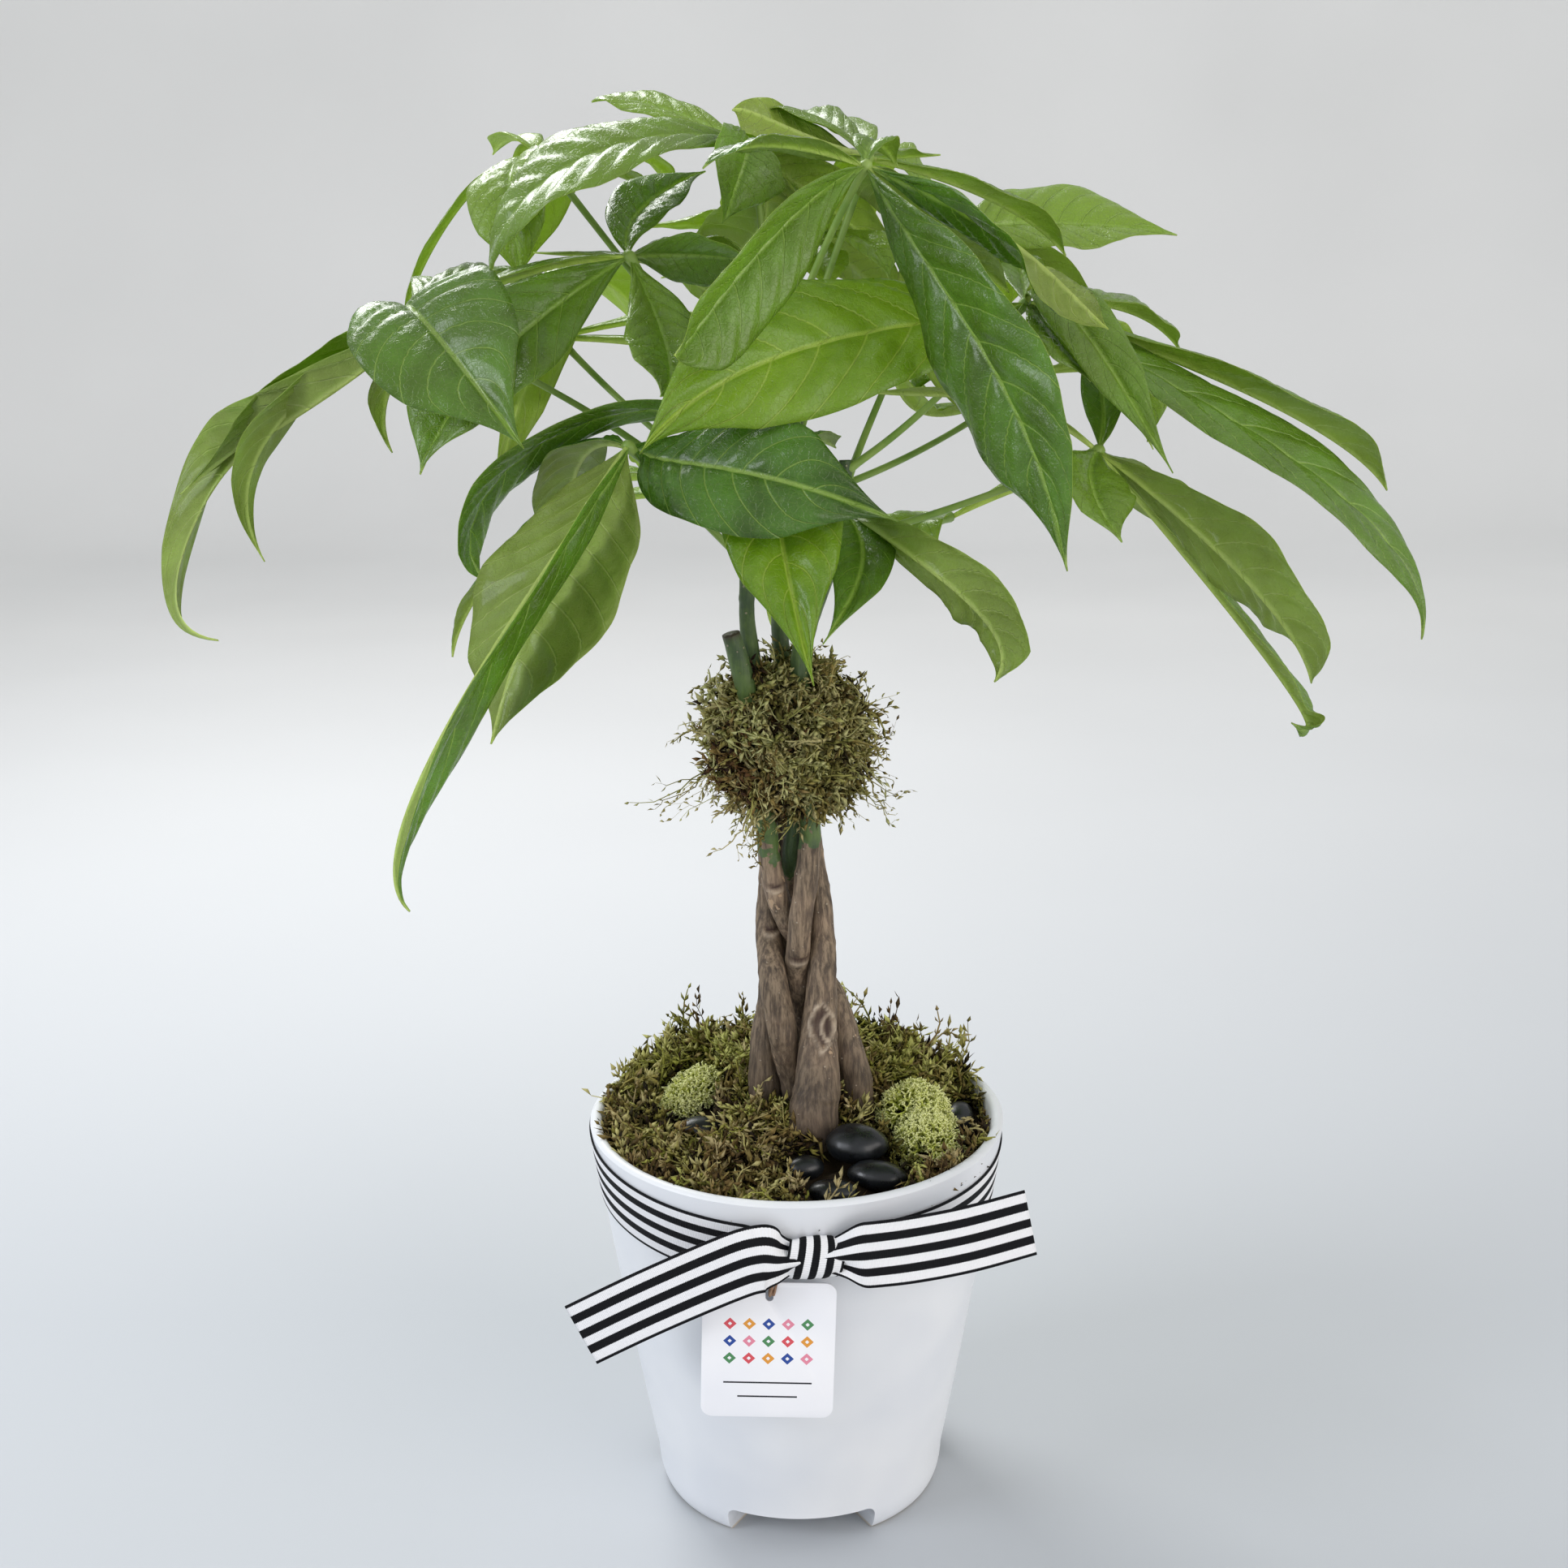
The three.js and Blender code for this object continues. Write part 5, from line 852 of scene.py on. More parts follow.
def clearOf(lines, grow=1.0):  # which strands keep clear of the stones, the lichen and the stems
    free = np.ones(len(lines), bool)
    things = [(np.array(at), np.array(half)) for at, half, turn in pebbleStones.values()]
    for clump in lichens.values():
        at, half = np.array(clump["at"]), np.array(clump["half"])
        things += [(at + shift, half * scale) for shift, scale in clump["lobes"]]
    for at, half in things:
        apart = (lines - at + [0, 3, 0])[..., :2] / (half[:2] * grow + [1, 5])
        low = lines[..., 2] < at[2] - 0.7 * half[2]
        free &= ((np.linalg.norm(apart, axis=2) > 1) | low).all(1)
    for x, y, z, radius in (row for route in stemRoutes.values() for row in route if 120 < row[2] < 200):
        near = np.hypot(lines[..., 0] - x, lines[..., 1] - y) < radius * 0.9
        free &= ~(near & (np.abs(lines[..., 2] - z) < 18)).any(1)
    return free


def makeMossBed():
    rand = np.random.default_rng(5)
    skin = makeMossSkin("sheetMoss", ("#2A1D11", "#6A5430", "#9C8650", "#C9B988"),
                        ("#2F2C12", "#7B7C30", "#ABAC4C", "#D3D47E"))
    rings, sides = 44, 132
    radius = (np.linspace(0, 1, rings + 1) * moss["bedRadius"])[:, None]
    turn = (np.arange(sides) * 2 * math.pi / sides)[None, :]
    x, y = radius * np.cos(turn), radius * np.sin(turn)
    lumps = lumpy(np.stack([x * 0.16, y * 0.16, x * 0 + 3], -1).reshape(-1, 3), octaves=5)
    z = mossHeight(x, y) - 1.5 + 1.5 * lumps.reshape(x.shape)
    top = np.stack([x, y, z], -1)[1:].reshape(-1, 3)
    low = np.stack([x[-1] * 0.985, y[-1] * 0.985, np.full(sides, moss["bedUnderside"])], -1)
    points = np.vstack([top, low, [[0, 0, z[0, 0]], [0, 0, moss["bedUnderside"]]]])
    faces, last = gridFaces(numbered(rings + 1, sides, wrap=True), flip=True), rings * sides
    faces += [(last + sides, k, (k + 1) % sides) for k in range(sides)]
    faces += [(last + sides + 1, last + (k + 1) % sides, last + k) for k in range(sides)]
    made = meshObject("moss_under", points, faces)
    addAttribute(made, "tone", np.full(len(points), -0.1))
    addAttribute(made, "fresh", np.full(len(points), 0.2))
    finishPiece(made, [skin], ["moss_bed"])

    for part, y0, y1 in (("front", -1, 0.12), ("back", 0.02, 1)):
        count = moss["strands"]
        a = rand.random(count) * 6.28
        r = moss["bedRadius"] * np.sqrt(rand.random(count))
        y = moss["bedRadius"] * (y0 + (y1 - y0) * rand.random(count))
        starts = np.stack([r * np.cos(a), np.where(np.abs(y) < r, y, r * np.sin(a)), r * 0], 1)
        starts[:, :2] *= np.minimum(1, 77 / np.maximum(1, np.hypot(starts[:, 0], starts[:, 1])))[:, None]
        starts[:, 2] = mossHeight(starts[:, 0], starts[:, 1]) - 2
        heads = rand.normal(size=(count, 3)) * [1, 1, 0.3] + [0, 0, 0.35]
        lines = wander(starts, heads, rand.uniform(10, 26, count), 6, 0.7, 0.1, rand)
        floor = mossHeight(lines[..., 0], lines[..., 1]) + 0.3
        lines[:, 1:, 2] = np.maximum(lines[:, 1:, 2], floor[:, 1:] + 4.5 * rand.random(floor[:, 1:].shape))
        keepWithin(lines, 78.6)
        lines = lines[clearOf(lines, 1.04)]
        patch = patches(lines[:, 0], 0.05)
        deep = ((lines[..., 2] - mossHeight(lines[..., 0], lines[..., 1])).mean(1) / 9 - 0.4).clip(-0.4, 0.4)
        tones = (0.28 + 0.3 * patch + deep + rand.normal(size=len(lines)) * 0.3).clip(-0.1, 0.95)
        fresh = (0.34 + 1.4 * patch + 0.009 * lines[:, 0, 1] + rand.normal(size=len(lines)) * 0.2).clip(0, 1)
        mossPiece("moss_strands_" + part, lines, (0.4, 0.9), 13, 6.0, tones, fresh, skin, "moss_bed", rand)

    # broader curls of dry moss lie on top
    count = moss["curls"]
    starts = onMoss(rand.uniform(0, 6.28, count), 76 * np.sqrt(rand.random(count)), 2.5)
    heads = rand.normal(size=(count, 3)) * [1, 1, 0.3] + [0, 0, 0.3]
    lines = wander(starts, heads, rand.uniform(14, 30, count), 11, 0.6, 0.06, rand)
    floor = mossHeight(lines[..., 0], lines[..., 1]) + 2.5
    lines[..., 2] = np.clip(lines[..., 2], floor, floor + 9)
    keepWithin(lines, 78.6)
    lines = lines[clearOf(lines)]
    mossPiece("moss_curls", lines, (0.5, 0.95), 12, 4.5, (0.35, 0.85), (0, 1), skin, "moss_bed", rand)

    # taller sprigs stand up behind the stems and lean over the rim
    count = moss["sprigs"]
    starts = onMoss(rand.uniform(-0.3, math.pi + 0.3, count), rand.uniform(24, 77, count), -1)
    heads = rand.normal(size=(count, 3)) * [0.9, 0.9, 0.3] + [0, 0, 0.9]
    lines = wander(starts, heads, rand.uniform(13, 34, count), 7, 0.55, 0.1, rand)
    keepWithin(lines, np.where(lines[..., 2] < 167, 78.6, 86))
    lines = lines[clearOf(lines, 1.06)]
    patch = patches(lines[:, 0], 0.05, 7)
    tones = (0.5 + 0.3 * patch + rand.normal(size=len(lines)) * 0.22).clip(0.05, 0.95)
    fresh = (0.65 + 1.2 * patch).clip(0, 1)
    mossPiece("moss_sprigs", lines, (0.4, 0.8), 13, 5.2, tones, fresh, skin, "moss_bed", rand)


def makeMossCollar():
    rand = np.random.default_rng(8)
    skin = makeMossSkin("collarMoss", ("#331F14", "#74522F", "#A3894F", "#CBBB86"),
                        ("#38331A", "#878444", "#B4B266", "#D6D696"))
    middle, half = np.array(collar["at"], float), np.array(collar["half"], float)
    core = makeCore("collar_core", middle, half, {"cuts": 5, "size": 0.55, "lump": 0.13, "often": 3.2}, 0)
    core.data.shade_smooth()
    addAttribute(core, "tone", np.full(len(core.data.vertices), 0.0))
    addAttribute(core, "fresh", np.full(len(core.data.vertices), 0.3))
    finishPiece(core, [skin], ["moss_collar"])

    count = collar["strands"]
    out = unit(rand.normal(size=(count, 3)))
    clumps = np.array(collar["clumps"])[rand.integers(0, len(collar["clumps"]), count)]
    starts = middle + (clumps + out * rand.uniform(0.3, 0.52, (count, 1))) * half
    heads = rand.normal(size=(count, 3)) + out * 0.6
    lines = wander(starts, heads, rand.uniform(12, 28, count), 6, 0.75, 0.12, rand)
    apart = (lines - middle) / half
    far = np.linalg.norm(apart, axis=2, keepdims=True)
    limit = 1.1 + 0.45 * rand.random((count, 1, 1))**2  # most strands stay in the ball, a few stick out
    lines = middle + apart * np.minimum(far, limit) / np.maximum(far, 1e-6) * half
    patch = patches(starts, 0.07)
    tones = (0.55 + 0.3 * patch + rand.normal(size=count) * 0.34).clip(-0.1, 1)
    red = np.exp(-(np.linalg.norm(starts - middle - [-18, -14, -14], axis=1) / 13)**2)  # low on the left
    tones, fresh = tones - 0.3 * red, (0.7 + 0.9 * patch - 1.2 * red).clip(0, 1)
    mossPiece("collar_strands", lines, (0.35, 0.75), 12, 5.4, tones, fresh, skin, "moss_collar", rand)

    count = collar["curls"]  # broader curls round the outside
    out = unit(rand.normal(size=(count, 3)))
    heads = np.cross(out, rand.normal(size=(count, 3))) + out * 0.4
    lines = wander(middle + out * half * 0.95, heads, rand.uniform(14, 28, count), 11, 0.6, 0.08, rand)
    mossPiece("collar_curls", lines, (0.45, 0.85), 12, 4.2, (0.4, 0.95), (0.2, 1), skin, "moss_collar", rand)

    count = collar["wisps"]
    out = unit(rand.normal(size=(count, 3)) * [1.3, 0.9, 0.8] - [0, 0, 0.25])
    heads = out + rand.normal(size=(count, 3)) * 0.4
    lines = wander(middle + out * half * 0.85, heads, rand.uniform(12, 30, count), 9, 0.45, 0.1, rand)
    for k in range(8 * len(collar["farWisps"])):  # a few trail far out
        begin, end = (np.array(place, float) for place in collar["farWisps"][k % len(collar["farWisps"])])
        t = np.linspace(0, 1, 9)[:, None] * rand.uniform(0.5, 1.0)
        sagging = begin + (end - begin) * t - [0, 0, 18] * (t * (1 - t))
        lines[k] = sagging + np.cumsum(rand.normal(size=(9, 3)), 0) * 1.5
    tones = rand.uniform(0.25, 0.85, count)
    mossPiece("collar_wisps", lines, (0.18, 0.34), 9, 3.2, tones, (0.2, 1), skin, "moss_collar", rand)


makeMossBed()
makeMossCollar()
print("moss made")


# reindeer moss: a pale dry lichen that forks into ever finer twigs, matte and slightly see-through at the tips
def makeLichenSkin():
    material, add = newMaterial("reindeerMoss")
    where = add("TexCoord", out="Object")
    tone = add("Attribute", out="Fac", attribute_name="tone")
    cloud = add("TexNoise", {"Vector": where, "Scale": perMetre(7), "Detail": 3})
    shade = add("Math", {0: cloud, 1: 0.4, 2: tone}, operation="MULTIPLY_ADD")
    stops = [(0.05, "#5A6722"), (0.35, "#C0CC52"), (0.65, "#E4EA7A"), (1.0, "#F6F8B8")]
    colour = add("ValToRGB", {0: shade}, stops=stops)
    surface = add("BsdfPrincipled", {"Base Color": colour, "Roughness": 0.85, "IOR": 1.4})
    glow = add("BsdfTranslucent", {"Color": colour})
    add("OutputMaterial", {"Surface": add("MixShader", {0: 0.22, 1: surface, 2: glow})})
    return material


def makeLichen(name, clump, skin, number):
    rand = np.random.default_rng(20 + number)
    middle, half = np.array(clump["at"], float), np.array(clump["half"], float)
    count = clump["twigs"]
    which = rand.integers(0, len(clump["lobes"]), count)
    shift, scale = np.array(clump["lobes"], float)[which].transpose(1, 0, 2)
    heads = unit(rand.normal(size=(count, 3)) + [0, 0, 0.25])
    starts = middle + shift + heads * half * scale * 0.6
    turn = (np.arange(3) * 2 * math.pi / 3)[:, None]
    reach, thick, points, tones = 0.2 * half.mean(), 0.72, [], []
    for fork in range(5):  # every twig forks in two, five times over
        ends = starts + heads * reach * rand.uniform(0.75, 1.25, (len(starts), 1))
        ahead = unit(ends - starts)
        side = unit(np.cross(ahead, [0.31, 0.17, 0.93]))
        ring = (side[:, None] * np.cos(turn) + np.cross(ahead, side)[:, None] * np.sin(turn)) * thick
        points.append(np.stack([starts[:, None] + ring, ends[:, None] + ring * 0.82], 1).reshape(-1, 3))
        tones.append(np.tile(np.repeat([0.1 + 0.15 * fork, 0.2 + 0.15 * fork], 3), len(starts)))
        spread = unit(np.cross(heads, rand.normal(size=heads.shape)))
        starts = np.vstack([ends, ends])
        heads = np.vstack([heads + spread * 0.62, heads - spread * 0.62])
        heads = unit(heads + rand.normal(size=heads.shape) * 0.22)
        reach, thick = reach * 0.8, thick * 0.84
    points = np.vstack(points)
    twig = gridFaces(numbered(2, 3, wrap=True)) + [(2, 1, 0), (3, 4, 5)]
    faces = [[first + k for k in face] for first in range(0, len(points), 6) for face in twig]
    made = meshObject(name + "_twigs", points, faces)
    addAttribute(made, "tone", np.concatenate(tones))
    finishPiece(made, [skin], [name])
    core = makeCore(name + "_core", middle, half, {"cuts": 4, "size": 0.48, "lump": 0.1, "often": 3}, number)
    addAttribute(core, "tone", np.full(len(core.data.vertices), -0.2))
    finishPiece(core, [skin], [name])


lichenSkin = makeLichenSkin()
for number, (name, clump) in enumerate(lichens.items()):
    makeLichen(name, clump, lichenSkin, number)
print("lichens made")


# black river pebbles, tumbled smooth and oiled: a soft deep shine with a faint grey bloom
def makePebbleSkin():
    material, add = newMaterial("blackRiverPebble")
    where = add("TexCoord", out="Object")
    cloud = add("TexNoise", {"Vector": where, "Scale": perMetre(8), "Detail": 5, "Roughness": 0.6})
    colour = add("ValToRGB", {0: cloud}, stops=[(0.35, "#0D0F11"), (0.6, "#1A1D20"), (0.75, "#2A2E31")])
    pits = add("TexNoise", {"Vector": where, "Scale": perMetre(0.8), "Detail": 3})
    rough = add("MapRange", {0: cloud, 1: 0.3, 2: 0.7, 3: 0.22, 4: 0.4})
    normal = add("Bump", {"Height": pits, "Distance": 0.06 * mm, "Strength": 0.5})
    shader = add("BsdfPrincipled", {"Base Color": colour, "Roughness": rough, "IOR": 1.52, "Normal": normal})
    add("OutputMaterial", {"Surface": shader})
    return material


def makePebble(name, middle, half, turn, skin):
    deselectAll()
    bpy.ops.mesh.primitive_ico_sphere_add(subdivisions=5, radius=1 * mm, location=(0, 0, 0))
    made = bpy.context.object
    made.name = name + "_smooth"
    bpy.ops.object.mode_set(mode="EDIT")
    bpy.ops.mesh.select_all(action="SELECT")
    bpy.ops.transform.resize(value=half, center_override=(0, 0, 0))
    bpy.ops.transform.rotate(value=-math.radians(turn), orient_axis="Z", center_override=(0, 0, 0))
    bpy.ops.transform.translate(value=fromPot(*middle))
    bpy.ops.object.mode_set(mode="OBJECT")
    for corner in made.data.vertices:  # water-worn, never quite even
        corner.co += (corner.co - fromPot(*middle)) * 0.07 * noise.fractal(corner.co * 90, 1, 2, 2)
    made.data.shade_smooth()
    finishPiece(made, [skin], [name])


pebbleSkin = makePebbleSkin()
for name, stone in pebbleStones.items():
    makePebble(name, *stone, pebbleSkin)
print("pebbles made")


# potting soil: dark peat with crumbs, seen only between the moss and the wall
def makeSoil():
    material, add = newMaterial("pottingSoil")
    where = add("TexCoord", out="Object")
    crumbs = add("TexVoronoi", {"Vector": where, "Scale": perMetre(3)}, "Distance")
    cloud = add("TexNoise", {"Vector": where, "Scale": perMetre(5), "Detail": 6, "Roughness": 0.7})
    colour = add("ValToRGB", {0: cloud}, stops=[(0.3, "#1E1610"), (0.7, "#3C2C1E")])
    relief = add("Math", {0: crumbs, 1: -0.8, 2: cloud}, operation="MULTIPLY_ADD")
    normal = add("Bump", {"Height": relief, "Distance": 1.2 * mm, "Strength": 1.0})
    shader = add("BsdfPrincipled", {"Base Color": colour, "Roughness": 0.92, "Normal": normal})
    add("OutputMaterial", {"Surface": shader})
    for slot in frame["nodes"]["soil"].material_slots:
        slot.material = material


makeSoil()

# woven polyester grosgrain ribbon, 1 inch wide: dull white and black stripes with fine cross ribs
def makeRibbonSkin():
    material, add = newMaterial("grosgrainRibbon")
    uv = add("UVMap", uv_map="ribbon")  # mm along and mm across the ribbon
    along = add("SeparateXYZ", {0: uv}, "X")
    across = add("SeparateXYZ", {0: uv}, "Y")
    ribs = add("Math", {0: along, 1: 2 * math.pi / 0.75}, operation="MULTIPLY")  # a rib each 0.75 mm
    ribs = add("Math", {0: ribs}, operation="SINE")
    fray = add("TexNoise", {"Vector": uv, "Scale": 1.8, "Detail": 2})
    fray = add("Math", {0: fray, 1: 0.5}, operation="SUBTRACT")
    away = add("Math", {0: across}, operation="ABSOLUTE")
    shift = add("Math", {0: ribs, 1: 0.07, 2: away}, operation="MULTIPLY_ADD")
    shift = add("Math", {0: fray, 1: 0.25, 2: shift}, operation="MULTIPLY_ADD")
    share = add("Math", {0: shift, 1: 12.7}, operation="DIVIDE")
    black, white = "#08090E", "#F0F0F2"
    stops = [(0, black)]
    for edge in (0.128, 0.384, 0.64, 0.91):  # shares of the way from the middle to the edge
        stops += [(edge - 0.006, stops[-1][1]), (edge + 0.006, white if stops[-1][1] == black else black)]
    colour = add("ValToRGB", {0: share}, stops=stops)
    threads = add("TexNoise", {"Vector": uv, "Scale": 5.0, "Detail": 2})
    shade = add("MapRange", {0: threads, 3: 0.86, 4: 1.1})
    colour = add("HueSaturation", {"Color": colour, "Value": shade})
    normal = add("Bump", {"Height": ribs, "Distance": 0.12 * mm, "Strength": 0.6})
    shader = add("BsdfPrincipled", {"Base Color": colour, "Roughness": 0.75, "IOR": 1.3, "Normal": normal})
    add("OutputMaterial", {"Surface": shader})
    return material


ribbon = {"width": 25.4, "thickness": 0.5, "height": 146, "dipToFront": 4, "dipToRight": 2.75,
          "gatherWithin": 17, "knotAt": (5, -86, 143.5), "knotHalf": (10.8, 4.4, 8.4)}
ribbonTails = {
    "left": {"lookUp": 0.3, "route": [(3, -87, 144), (-7, -89.5, 145), (-15, -91, 146), (-27, -91, 142),
                                      (-57, -87, 126), (-84, -81, 109)]},
    "right": {"lookUp": 0.2, "route": [(7, -87, 144), (18, -89.5, 146), (28, -90.5, 147), (43, -89, 148),
                                       (64, -85, 150), (88, -78, 153)]},
}


def clothPiece(name, grid, places, skin, flat, closed=False):  # a strip of cloth
    rows, columns = grid.shape[:2]
    index = numbered(rows, columns)
    index = np.vstack([index, index[:1]]) if closed else index
    made = meshObject(name, grid.reshape(-1, 3), gridFaces(index, flip=True))
    layer = made.data.uv_layers.new(name="ribbon")
    flatPlaces = places.reshape(-1, 2)
    for face in made.data.polygons:
        for loop in face.loop_indices:
            corner = made.data.loops[loop].vertex_index
            u, v = flatPlaces[corner]
            if closed and face.index >= (rows - 1) * (columns - 1) and corner < columns:
                u += flat[1] * 1000
            layer.data[loop].uv = (u, v)
    deselectAll()
    made.select_set(True)
    bpy.context.view_layer.objects.active = made
    thick = made.modifiers.new("cloth", "SOLIDIFY")
    thick.thickness, thick.offset = ribbon["thickness"] * mm, 0
    bpy.ops.object.modifier_apply(modifier=thick.name)
    finishPiece(made, [skin], ["ribbon"])


def makeRibbonBand(skin):
    slope = unit([float(wallRadius(156) - wallRadius(134)), 22])
    count, columns = 288, 15
    front = math.atan2(ribbon["knotAt"][1], ribbon["knotAt"][0])
    grid, places = np.zeros((count, columns, 3)), np.zeros((count, columns, 2))
    for i in range(count):
        angle = front + 2 * math.pi * i / count
        z = ribbon["height"] + ribbon["dipToFront"] * math.sin(angle) - ribbon["dipToRight"] * math.cos(angle)
        r = float(wallRadius(z)) + 0.3 + ribbon["thickness"] / 2
        apart = min(i, count - i) * 360 / count
        wide = 0.42 + 0.58 * min(1, apart / ribbon["gatherWithin"])**0.8  # it narrows towards the knot
        pleat = 1.6 * (1 - wide) / 0.58
        radial = np.array([math.cos(angle), math.sin(angle), 0])
        across = radial * slope[0] + np.array([0, 0, slope[1]])
        out = radial * slope[1] - np.array([0, 0, slope[0]])
        for j in range(columns):
            v = (j / (columns - 1) - 0.5) * ribbon["width"]
            lift = pleat * (1.05 + math.sin(v * 0.75 + 0.6))
            grid[i, j] = radial * r + [0, 0, z] + across * v * wide + out * lift
            places[i, j] = (-i / count * 2 * math.pi * 84.5, v)
    flat = (ribbon["width"] * mm, 2 * math.pi * 83.5 * mm)
    clothPiece("ribbon_band", grid, places * [-1, 1], skin, flat, closed=True)


def makeRibbonTail(side, tail, skin):
    route = np.array(tail["route"], float)
    rows, columns = 72, 25
    line = smoothBetween(route, np.linspace(0, len(route) - 1, rows))
    ahead = unit(np.gradient(line, axis=0))
    far = np.concatenate([[0], np.cumsum(np.linalg.norm(np.diff(line, axis=0), axis=1))])
    across = unit(np.cross([0, -1, tail["lookUp"]], ahead))
    out = np.cross(ahead, across)
    t = np.linspace(0, 1, rows)
    opened = np.clip(t / 0.36, 0, 1)
    opened = opened * opened * (3 - 2 * opened)
    wide = 0.36 + 0.64 * opened
    v = np.linspace(-0.5, 0.5, columns)
    pleat = (1 - opened)[:, None]
    folds = np.sin(v[None, :] * 6.28 * 1.5 + 0.7) * 2.6 * pleat + np.cos(v[None, :] * 6.28) * 0.5 * pleat
    crown = (0.25 - v[None, :]**2) * 5 * np.exp(-((t[:, None] - 0.28) / 0.16)**2)  # a belly past the knot
    curl = 0.9 * np.sin(t[:, None] * 5 + 1) * v[None, :] * opened[:, None]
    grid = line[:, None] + across[:, None] * (v[None, :] * ribbon["width"] * wide[:, None])[..., None]
    grid = grid + out[:, None] * (folds + crown + curl)[..., None]
    places = np.stack(np.broadcast_arrays(far[:, None], v[None, :] * ribbon["width"]), -1)
    flat = (ribbon["width"] * mm, far[-1] * mm)
    clothPiece("ribbon_tail_" + side, grid, places, skin, flat)


def makeRibbonKnot(skin):
    middle, half = np.array(ribbon["knotAt"], float), np.array(ribbon["knotHalf"], float)
    rows, columns = 72, 23
    grid, places = np.zeros((rows, columns, 3)), np.zeros((rows, columns, 2))
    aroundKnot = 2 * math.pi * math.sqrt((half[1]**2 + half[2]**2) / 2)
    for i in range(rows):
        turn = 2 * math.pi * i / rows
        facing = max(0, -math.cos(turn))
        for j in range(columns):
            v = j / (columns - 1) - 0.5
            pinch = 1 - 0.16 * abs(v * 2)**2.5 - 0.05 * math.sin(turn * 3 + v * 4)
            crease = 0.45 * math.sin(v * 25 + 1.1 + 0.7 * math.sin(turn * 2))
            lean = 1.6 * math.sin(turn) + 0.9 * facing
            grid[i, j] = (middle[0] + v * 2 * half[0] * (0.93 + 0.07 * facing) + lean,
                          middle[1] + half[1] * math.cos(turn) * pinch * 1.12 - crease * facing * 0.6,
                          middle[2] + (half[2] + crease * 0.4) * math.sin(turn) * pinch - 2.0 * v * facing)
            places[i, j] = (turn / (2 * math.pi) * aroundKnot, v * ribbon["width"])
    flat = (ribbon["width"] * mm, aroundKnot * mm)
    clothPiece("ribbon_knot", grid, places, skin, flat, closed=True)


ribbonSkin = makeRibbonSkin()
makeRibbonKnot(ribbonSkin)
makeRibbonBand(ribbonSkin)
for side, tail in ribbonTails.items():
    makeRibbonTail(side, tail, ribbonSkin)
print("ribbon tied")

# gift tag: coated white card, smooth with a satin print; rows of small plain diamonds over two ruled lines
card = {"width": 51, "height": 58, "corner": 4.5, "thickness": 0.8, "slotWidth": 3, "slotHeight": 6,
        "at": (-11.2, -84.3, 132.8), "tilt": -2}


def makeCardSkin():
    material, add = newMaterial("coatedCard")
    where = add("TexCoord", out="Object")
    upright, millimetres = (0, math.radians(card["tilt"]), 0), (1000, 1000, 1000)
    turned = add("Mapping", {"Vector": where, "Location": -fromPot(*card["at"])})
    turned = add("Mapping", {"Vector": turned, "Rotation": upright, "Scale": millimetres})
    cell = 7.4  # mm from one diamond to the next
    numbers, edge, inside = [], 0, 1
    for axis, begin, step, count in (("X", cell * 2.5, cell, 5), ("Z", 14, -cell, 3)):
        place = add("Math", {0: add("SeparateXYZ", {0: turned}, axis), 1: begin}, operation="ADD")
        place = add("Math", {0: place, 1: step}, operation="DIVIDE")
        numbers.append(add("Math", {0: place}, operation="FLOOR"))
        apart = add("Math", {0: add("Math", {0: place}, operation="FRACT"), 1: 0.5}, operation="SUBTRACT")
        edge = add("Math", {0: add("Math", {0: apart}, operation="ABSOLUTE"), 1: edge}, operation="ADD")
        for limit, compare in ((0, "GREATER_THAN"), (count, "LESS_THAN")):
            within = add("Math", {0: place, 1: limit}, operation=compare)
            inside = add("Math", {0: within, 1: inside}, operation="MULTIPLY")
    column, row = numbers
    diamond = add("Math", {0: edge, 1: 0.34}, operation="LESS_THAN")
    hole = add("Math", {0: edge, 1: 0.11}, operation="LESS_THAN")
    pick = add("Math", {0: row, 1: 2.0, 2: column}, operation="MULTIPLY_ADD")
    pick = add("Math", {0: add("Math", {0: pick, 1: 10.0}, operation="ADD"), 1: 5.0}, operation="MODULO")
    pick = add("Math", {0: pick, 1: 5.0}, operation="DIVIDE")
    stops = []
    for i, shade in enumerate(("#D9505A", "#E39A38", "#23489A", "#E58AA0", "#4C8A57")):
        stops += [(max(0, i / 5 - 0.01), shade), (i / 5 + 0.15, shade)]
    ink = add("ValToRGB", {0: pick}, stops=stops)
    ink = add("Mix", {0: hole, 6: ink, 7: "#F6F6FA"})
    printed = add("Math", {0: diamond, 1: inside}, operation="MULTIPLY")
    white = add("TexNoise", {"Vector": where, "Scale": perMetre(30)})
    white = add("ValToRGB", {0: white}, stops=[(0.3, "#F2F3F8"), (0.7, "#F8F8FB")])
    colour = add("Mix", {0: printed, 6: white, 7: ink})
    for height, reach in ((43.0, 17.0), (49.0, 11.5)):  # ruled lines, below the card's top and to each side
        line = 1
        for axis, shift, limit in (("X", 0, reach), ("Z", height, 0.35)):
            apart = add("Math", {0: add("SeparateXYZ", {0: turned}, axis), 1: shift}, operation="ADD")
            apart = add("Math", {0: apart}, operation="ABSOLUTE")
            near = add("Math", {0: apart, 1: limit}, operation="LESS_THAN")
            line = add("Math", {0: near, 1: line}, operation="MULTIPLY")
        colour = add("Mix", {0: line, 6: colour, 7: "#1B1B22"})
    fibre = add("TexNoise", {"Vector": where, "Scale": perMetre(0.6), "Detail": 2})
    normal = add("Bump", {"Height": fibre, "Distance": 0.02 * mm, "Strength": 0.3})
    shader = add("BsdfPrincipled", {"Base Color": colour, "Roughness": 0.42, "IOR": 1.5, "Normal": normal})
    add("OutputMaterial", {"Surface": shader})
    return material


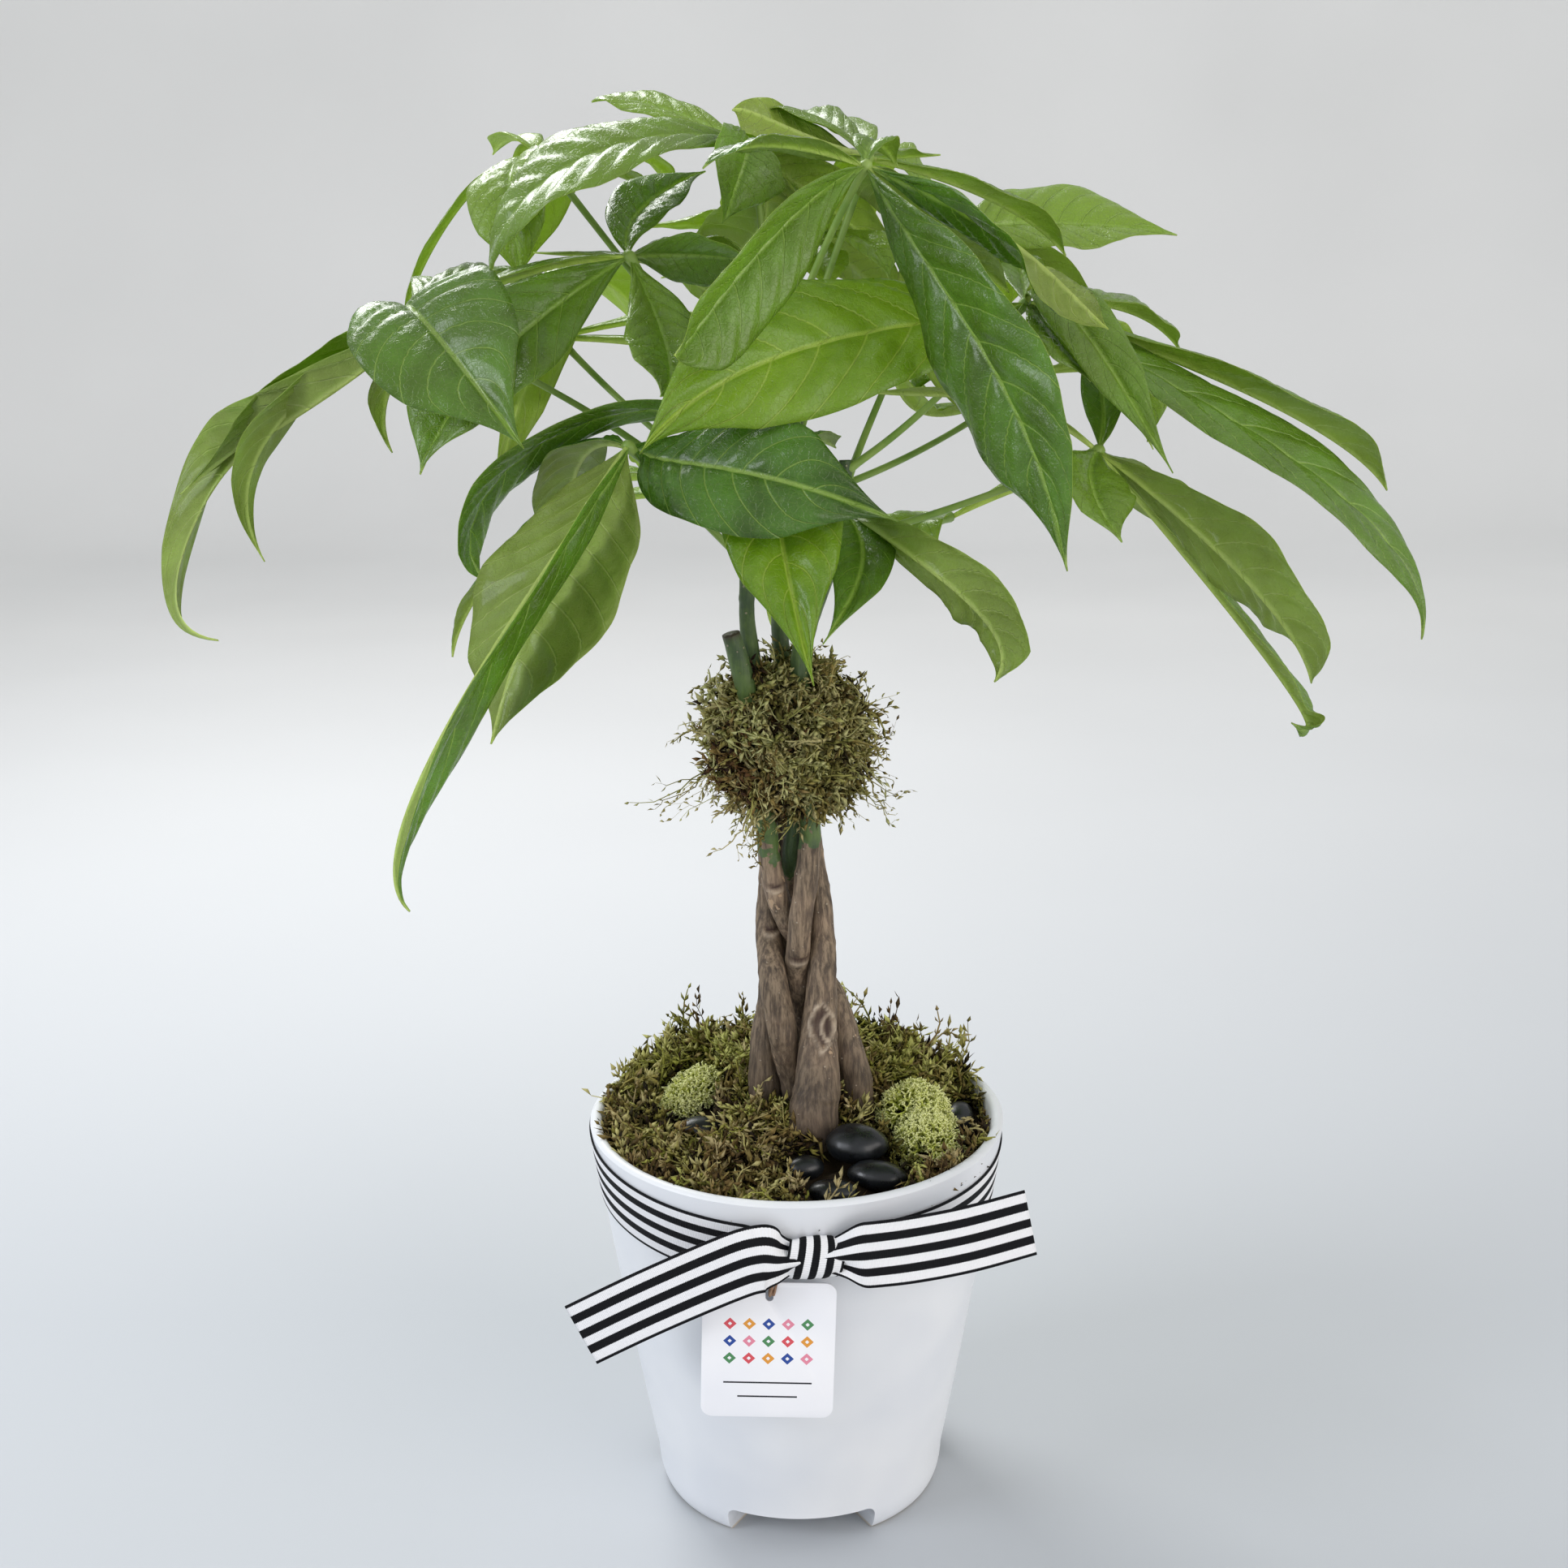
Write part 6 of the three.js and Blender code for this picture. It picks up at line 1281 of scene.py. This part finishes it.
def tagBox(width, depth, height, middle, corner, segments):  # a flat box with round upright corners
    deselectAll()
    bpy.ops.mesh.primitive_cube_add(size=1, location=middle)
    made = bpy.context.object
    made.scale = Vector((width, depth, height)) * mm
    bpy.ops.object.transform_apply(location=True, rotation=True, scale=True)
    bevelEdges(made, lambda a, b: abs(a.y - b.y) > depth * 0.5 * mm, corner, segments)
    return made


def makeTag():
    top = fromPot(*card["at"])
    width, height, thickness, slot = card["width"], card["height"], card["thickness"], card["slotHeight"]
    made = tagBox(width, thickness, height, top - Vector((0, thickness, height)) * mm / 2, card["corner"], 10)
    made.name = "gift_tag"
    hole = top - Vector((0, 0, 2 + slot / 2)) * mm
    cutAway(made, tagBox(card["slotWidth"], 6, slot, hole, card["slotWidth"] / 2 - 0.02, 8))
    turn = Matrix.Rotation(math.radians(-card["tilt"]), 4, "Y")
    made.data.transform(Matrix.Translation(top) @ turn @ Matrix.Translation(-top))
    softenEdges(made, 0.12, 2, 30, 35)
    finishPiece(made, [makeCardSkin()], ["tag"])


makeTag()

# raffia: a flat strip of dried palm leaf, straw brown, with lengthwise fibres
tieRoute = [(-7.7, -84.2, 139.8), (-9.2, -86, 134.3), (-10.2, -86.4, 130.3), (-10.7, -84.9, 127.4),
            (-10.7, -83.3, 129.3), (-9.7, -83.2, 133.8), (-6.7, -83.2, 138.8)]


def makeTie():
    material, add = newMaterial("driedRaffia")
    where = add("TexCoord", out="Object")
    upright = add("Mapping", {"Vector": where, "Scale": (1, 1, 0.12)})
    fibre = add("TexNoise", {"Vector": upright, "Scale": perMetre(0.5), "Detail": 4})
    colour = add("ValToRGB", {0: fibre}, stops=[(0.3, "#6E4F38"), (0.55, "#96755A"), (0.75, "#B3947A")])
    normal = add("Bump", {"Height": fibre, "Distance": 0.2 * mm, "Strength": 0.8})
    shader = add("BsdfPrincipled", {"Base Color": colour, "Roughness": 0.7, "Normal": normal})
    add("OutputMaterial", {"Surface": shader})
    rows = 60
    line = smoothBetween(tieRoute, np.linspace(0, len(tieRoute) - 1, rows))
    _, side, up = carriedFrames(line)
    points, faces = [], []
    for strand in range(3):
        turn = strand * 2.1 + np.linspace(0, 2.2, rows)
        wide = np.array([1, 0, 0]) * (0.85 * (strand - 1) * np.cos(np.linspace(0, 2, rows)))[:, None]
        offset = 0.28 * (side * np.cos(turn)[:, None] + up * np.sin(turn)[:, None])
        radii = 0.52 + 0.08 * np.sin(np.linspace(0, 14, rows) + strand)
        more, tube = tubeParts(line + wide + offset, radii, 8, sum(len(p) for p in points))
        points.append(more)
        faces += tube
    made = meshObject("raffia_tie", np.vstack(points), faces)
    finishPiece(made, [material], ["tag_tie"])


makeTie()
print("tag tied on")

# a pale paper sweep, a window to the left, a weak fill from the right and bright sky from behind and above
def makeStudio():
    material, add = newMaterial("paperSweep")
    where = add("TexCoord", out="Object")
    cloud = add("TexNoise", {"Vector": where, "Scale": perMetre(400), "Detail": 2})
    colour = add("ValToRGB", {0: cloud}, stops=[(0.3, "#EAEAE8"), (0.7, "#EFEFED")])
    far = add("MapRange", {0: add("SeparateXYZ", {0: where}, "Y"), 1: 0.1, 2: 1.7})
    colour = add("Mix", {0: far, 6: "#BCC0C4", 7: colour})  # painted shade: the table round the pot and in front of it is darker, lightening towards the back
    grain = add("TexNoise", {"Vector": where, "Scale": perMetre(1.5), "Detail": 3})
    normal = add("Bump", {"Height": grain, "Distance": 0.05 * mm, "Strength": 0.2})
    shader = add("BsdfPrincipled", {"Base Color": colour, "Roughness": 0.75, "Normal": normal})
    add("OutputMaterial", {"Surface": shader})
    profile = [(-3000, 0), (2200, 0)]
    profile += [(2200 + 600 * math.sin(a), 600 - 600 * math.cos(a)) for a in np.linspace(0.1, math.pi / 2, 16)]
    profile += [(2800, 3200)]
    points = [(x, y, z) for x in (-4000, 4000) for y, z in profile]
    count = len(profile)
    faces = [(i, count + i, count + i + 1, i + 1) for i in range(count - 1)]
    sweep = meshObject("paper_sweep", points, faces)
    sweep.data.materials.append(material)
    world = bpy.data.worlds.new("softRoom")
    bpy.context.scene.world = world
    world.use_nodes = True
    world.node_tree.nodes["Background"].inputs[0].default_value = hexColour("#F3F5F8")
    world.node_tree.nodes["Background"].inputs[1].default_value = 0.72
    for name, place, size, power, colour in (("windowLeft", (-1500, -700, 1000), 0.75, 13, "#F2F6FF"),
                                             ("fillFront", (1450, -1350, 700), 1.6, 20, "#FFF8F2"),
                                             ("skyBehind", (-500, 900, 1300), 0.6, 13, "#FFFFFF")):
        data = bpy.data.lights.new(name, "AREA")
        data.size, data.energy, data.color = size, power, hexColour(colour)[:3]
        light = bpy.data.objects.new(name, data)
        bpy.context.collection.objects.link(light)
        light.location = fromPot(*place)
        light.rotation_euler = (fromPot(0, 0, 280) - light.location).to_track_quat("-Z", "Y").to_euler()
    bpy.context.scene.view_settings.view_transform = "Standard"


makeStudio()
print("studio lit")
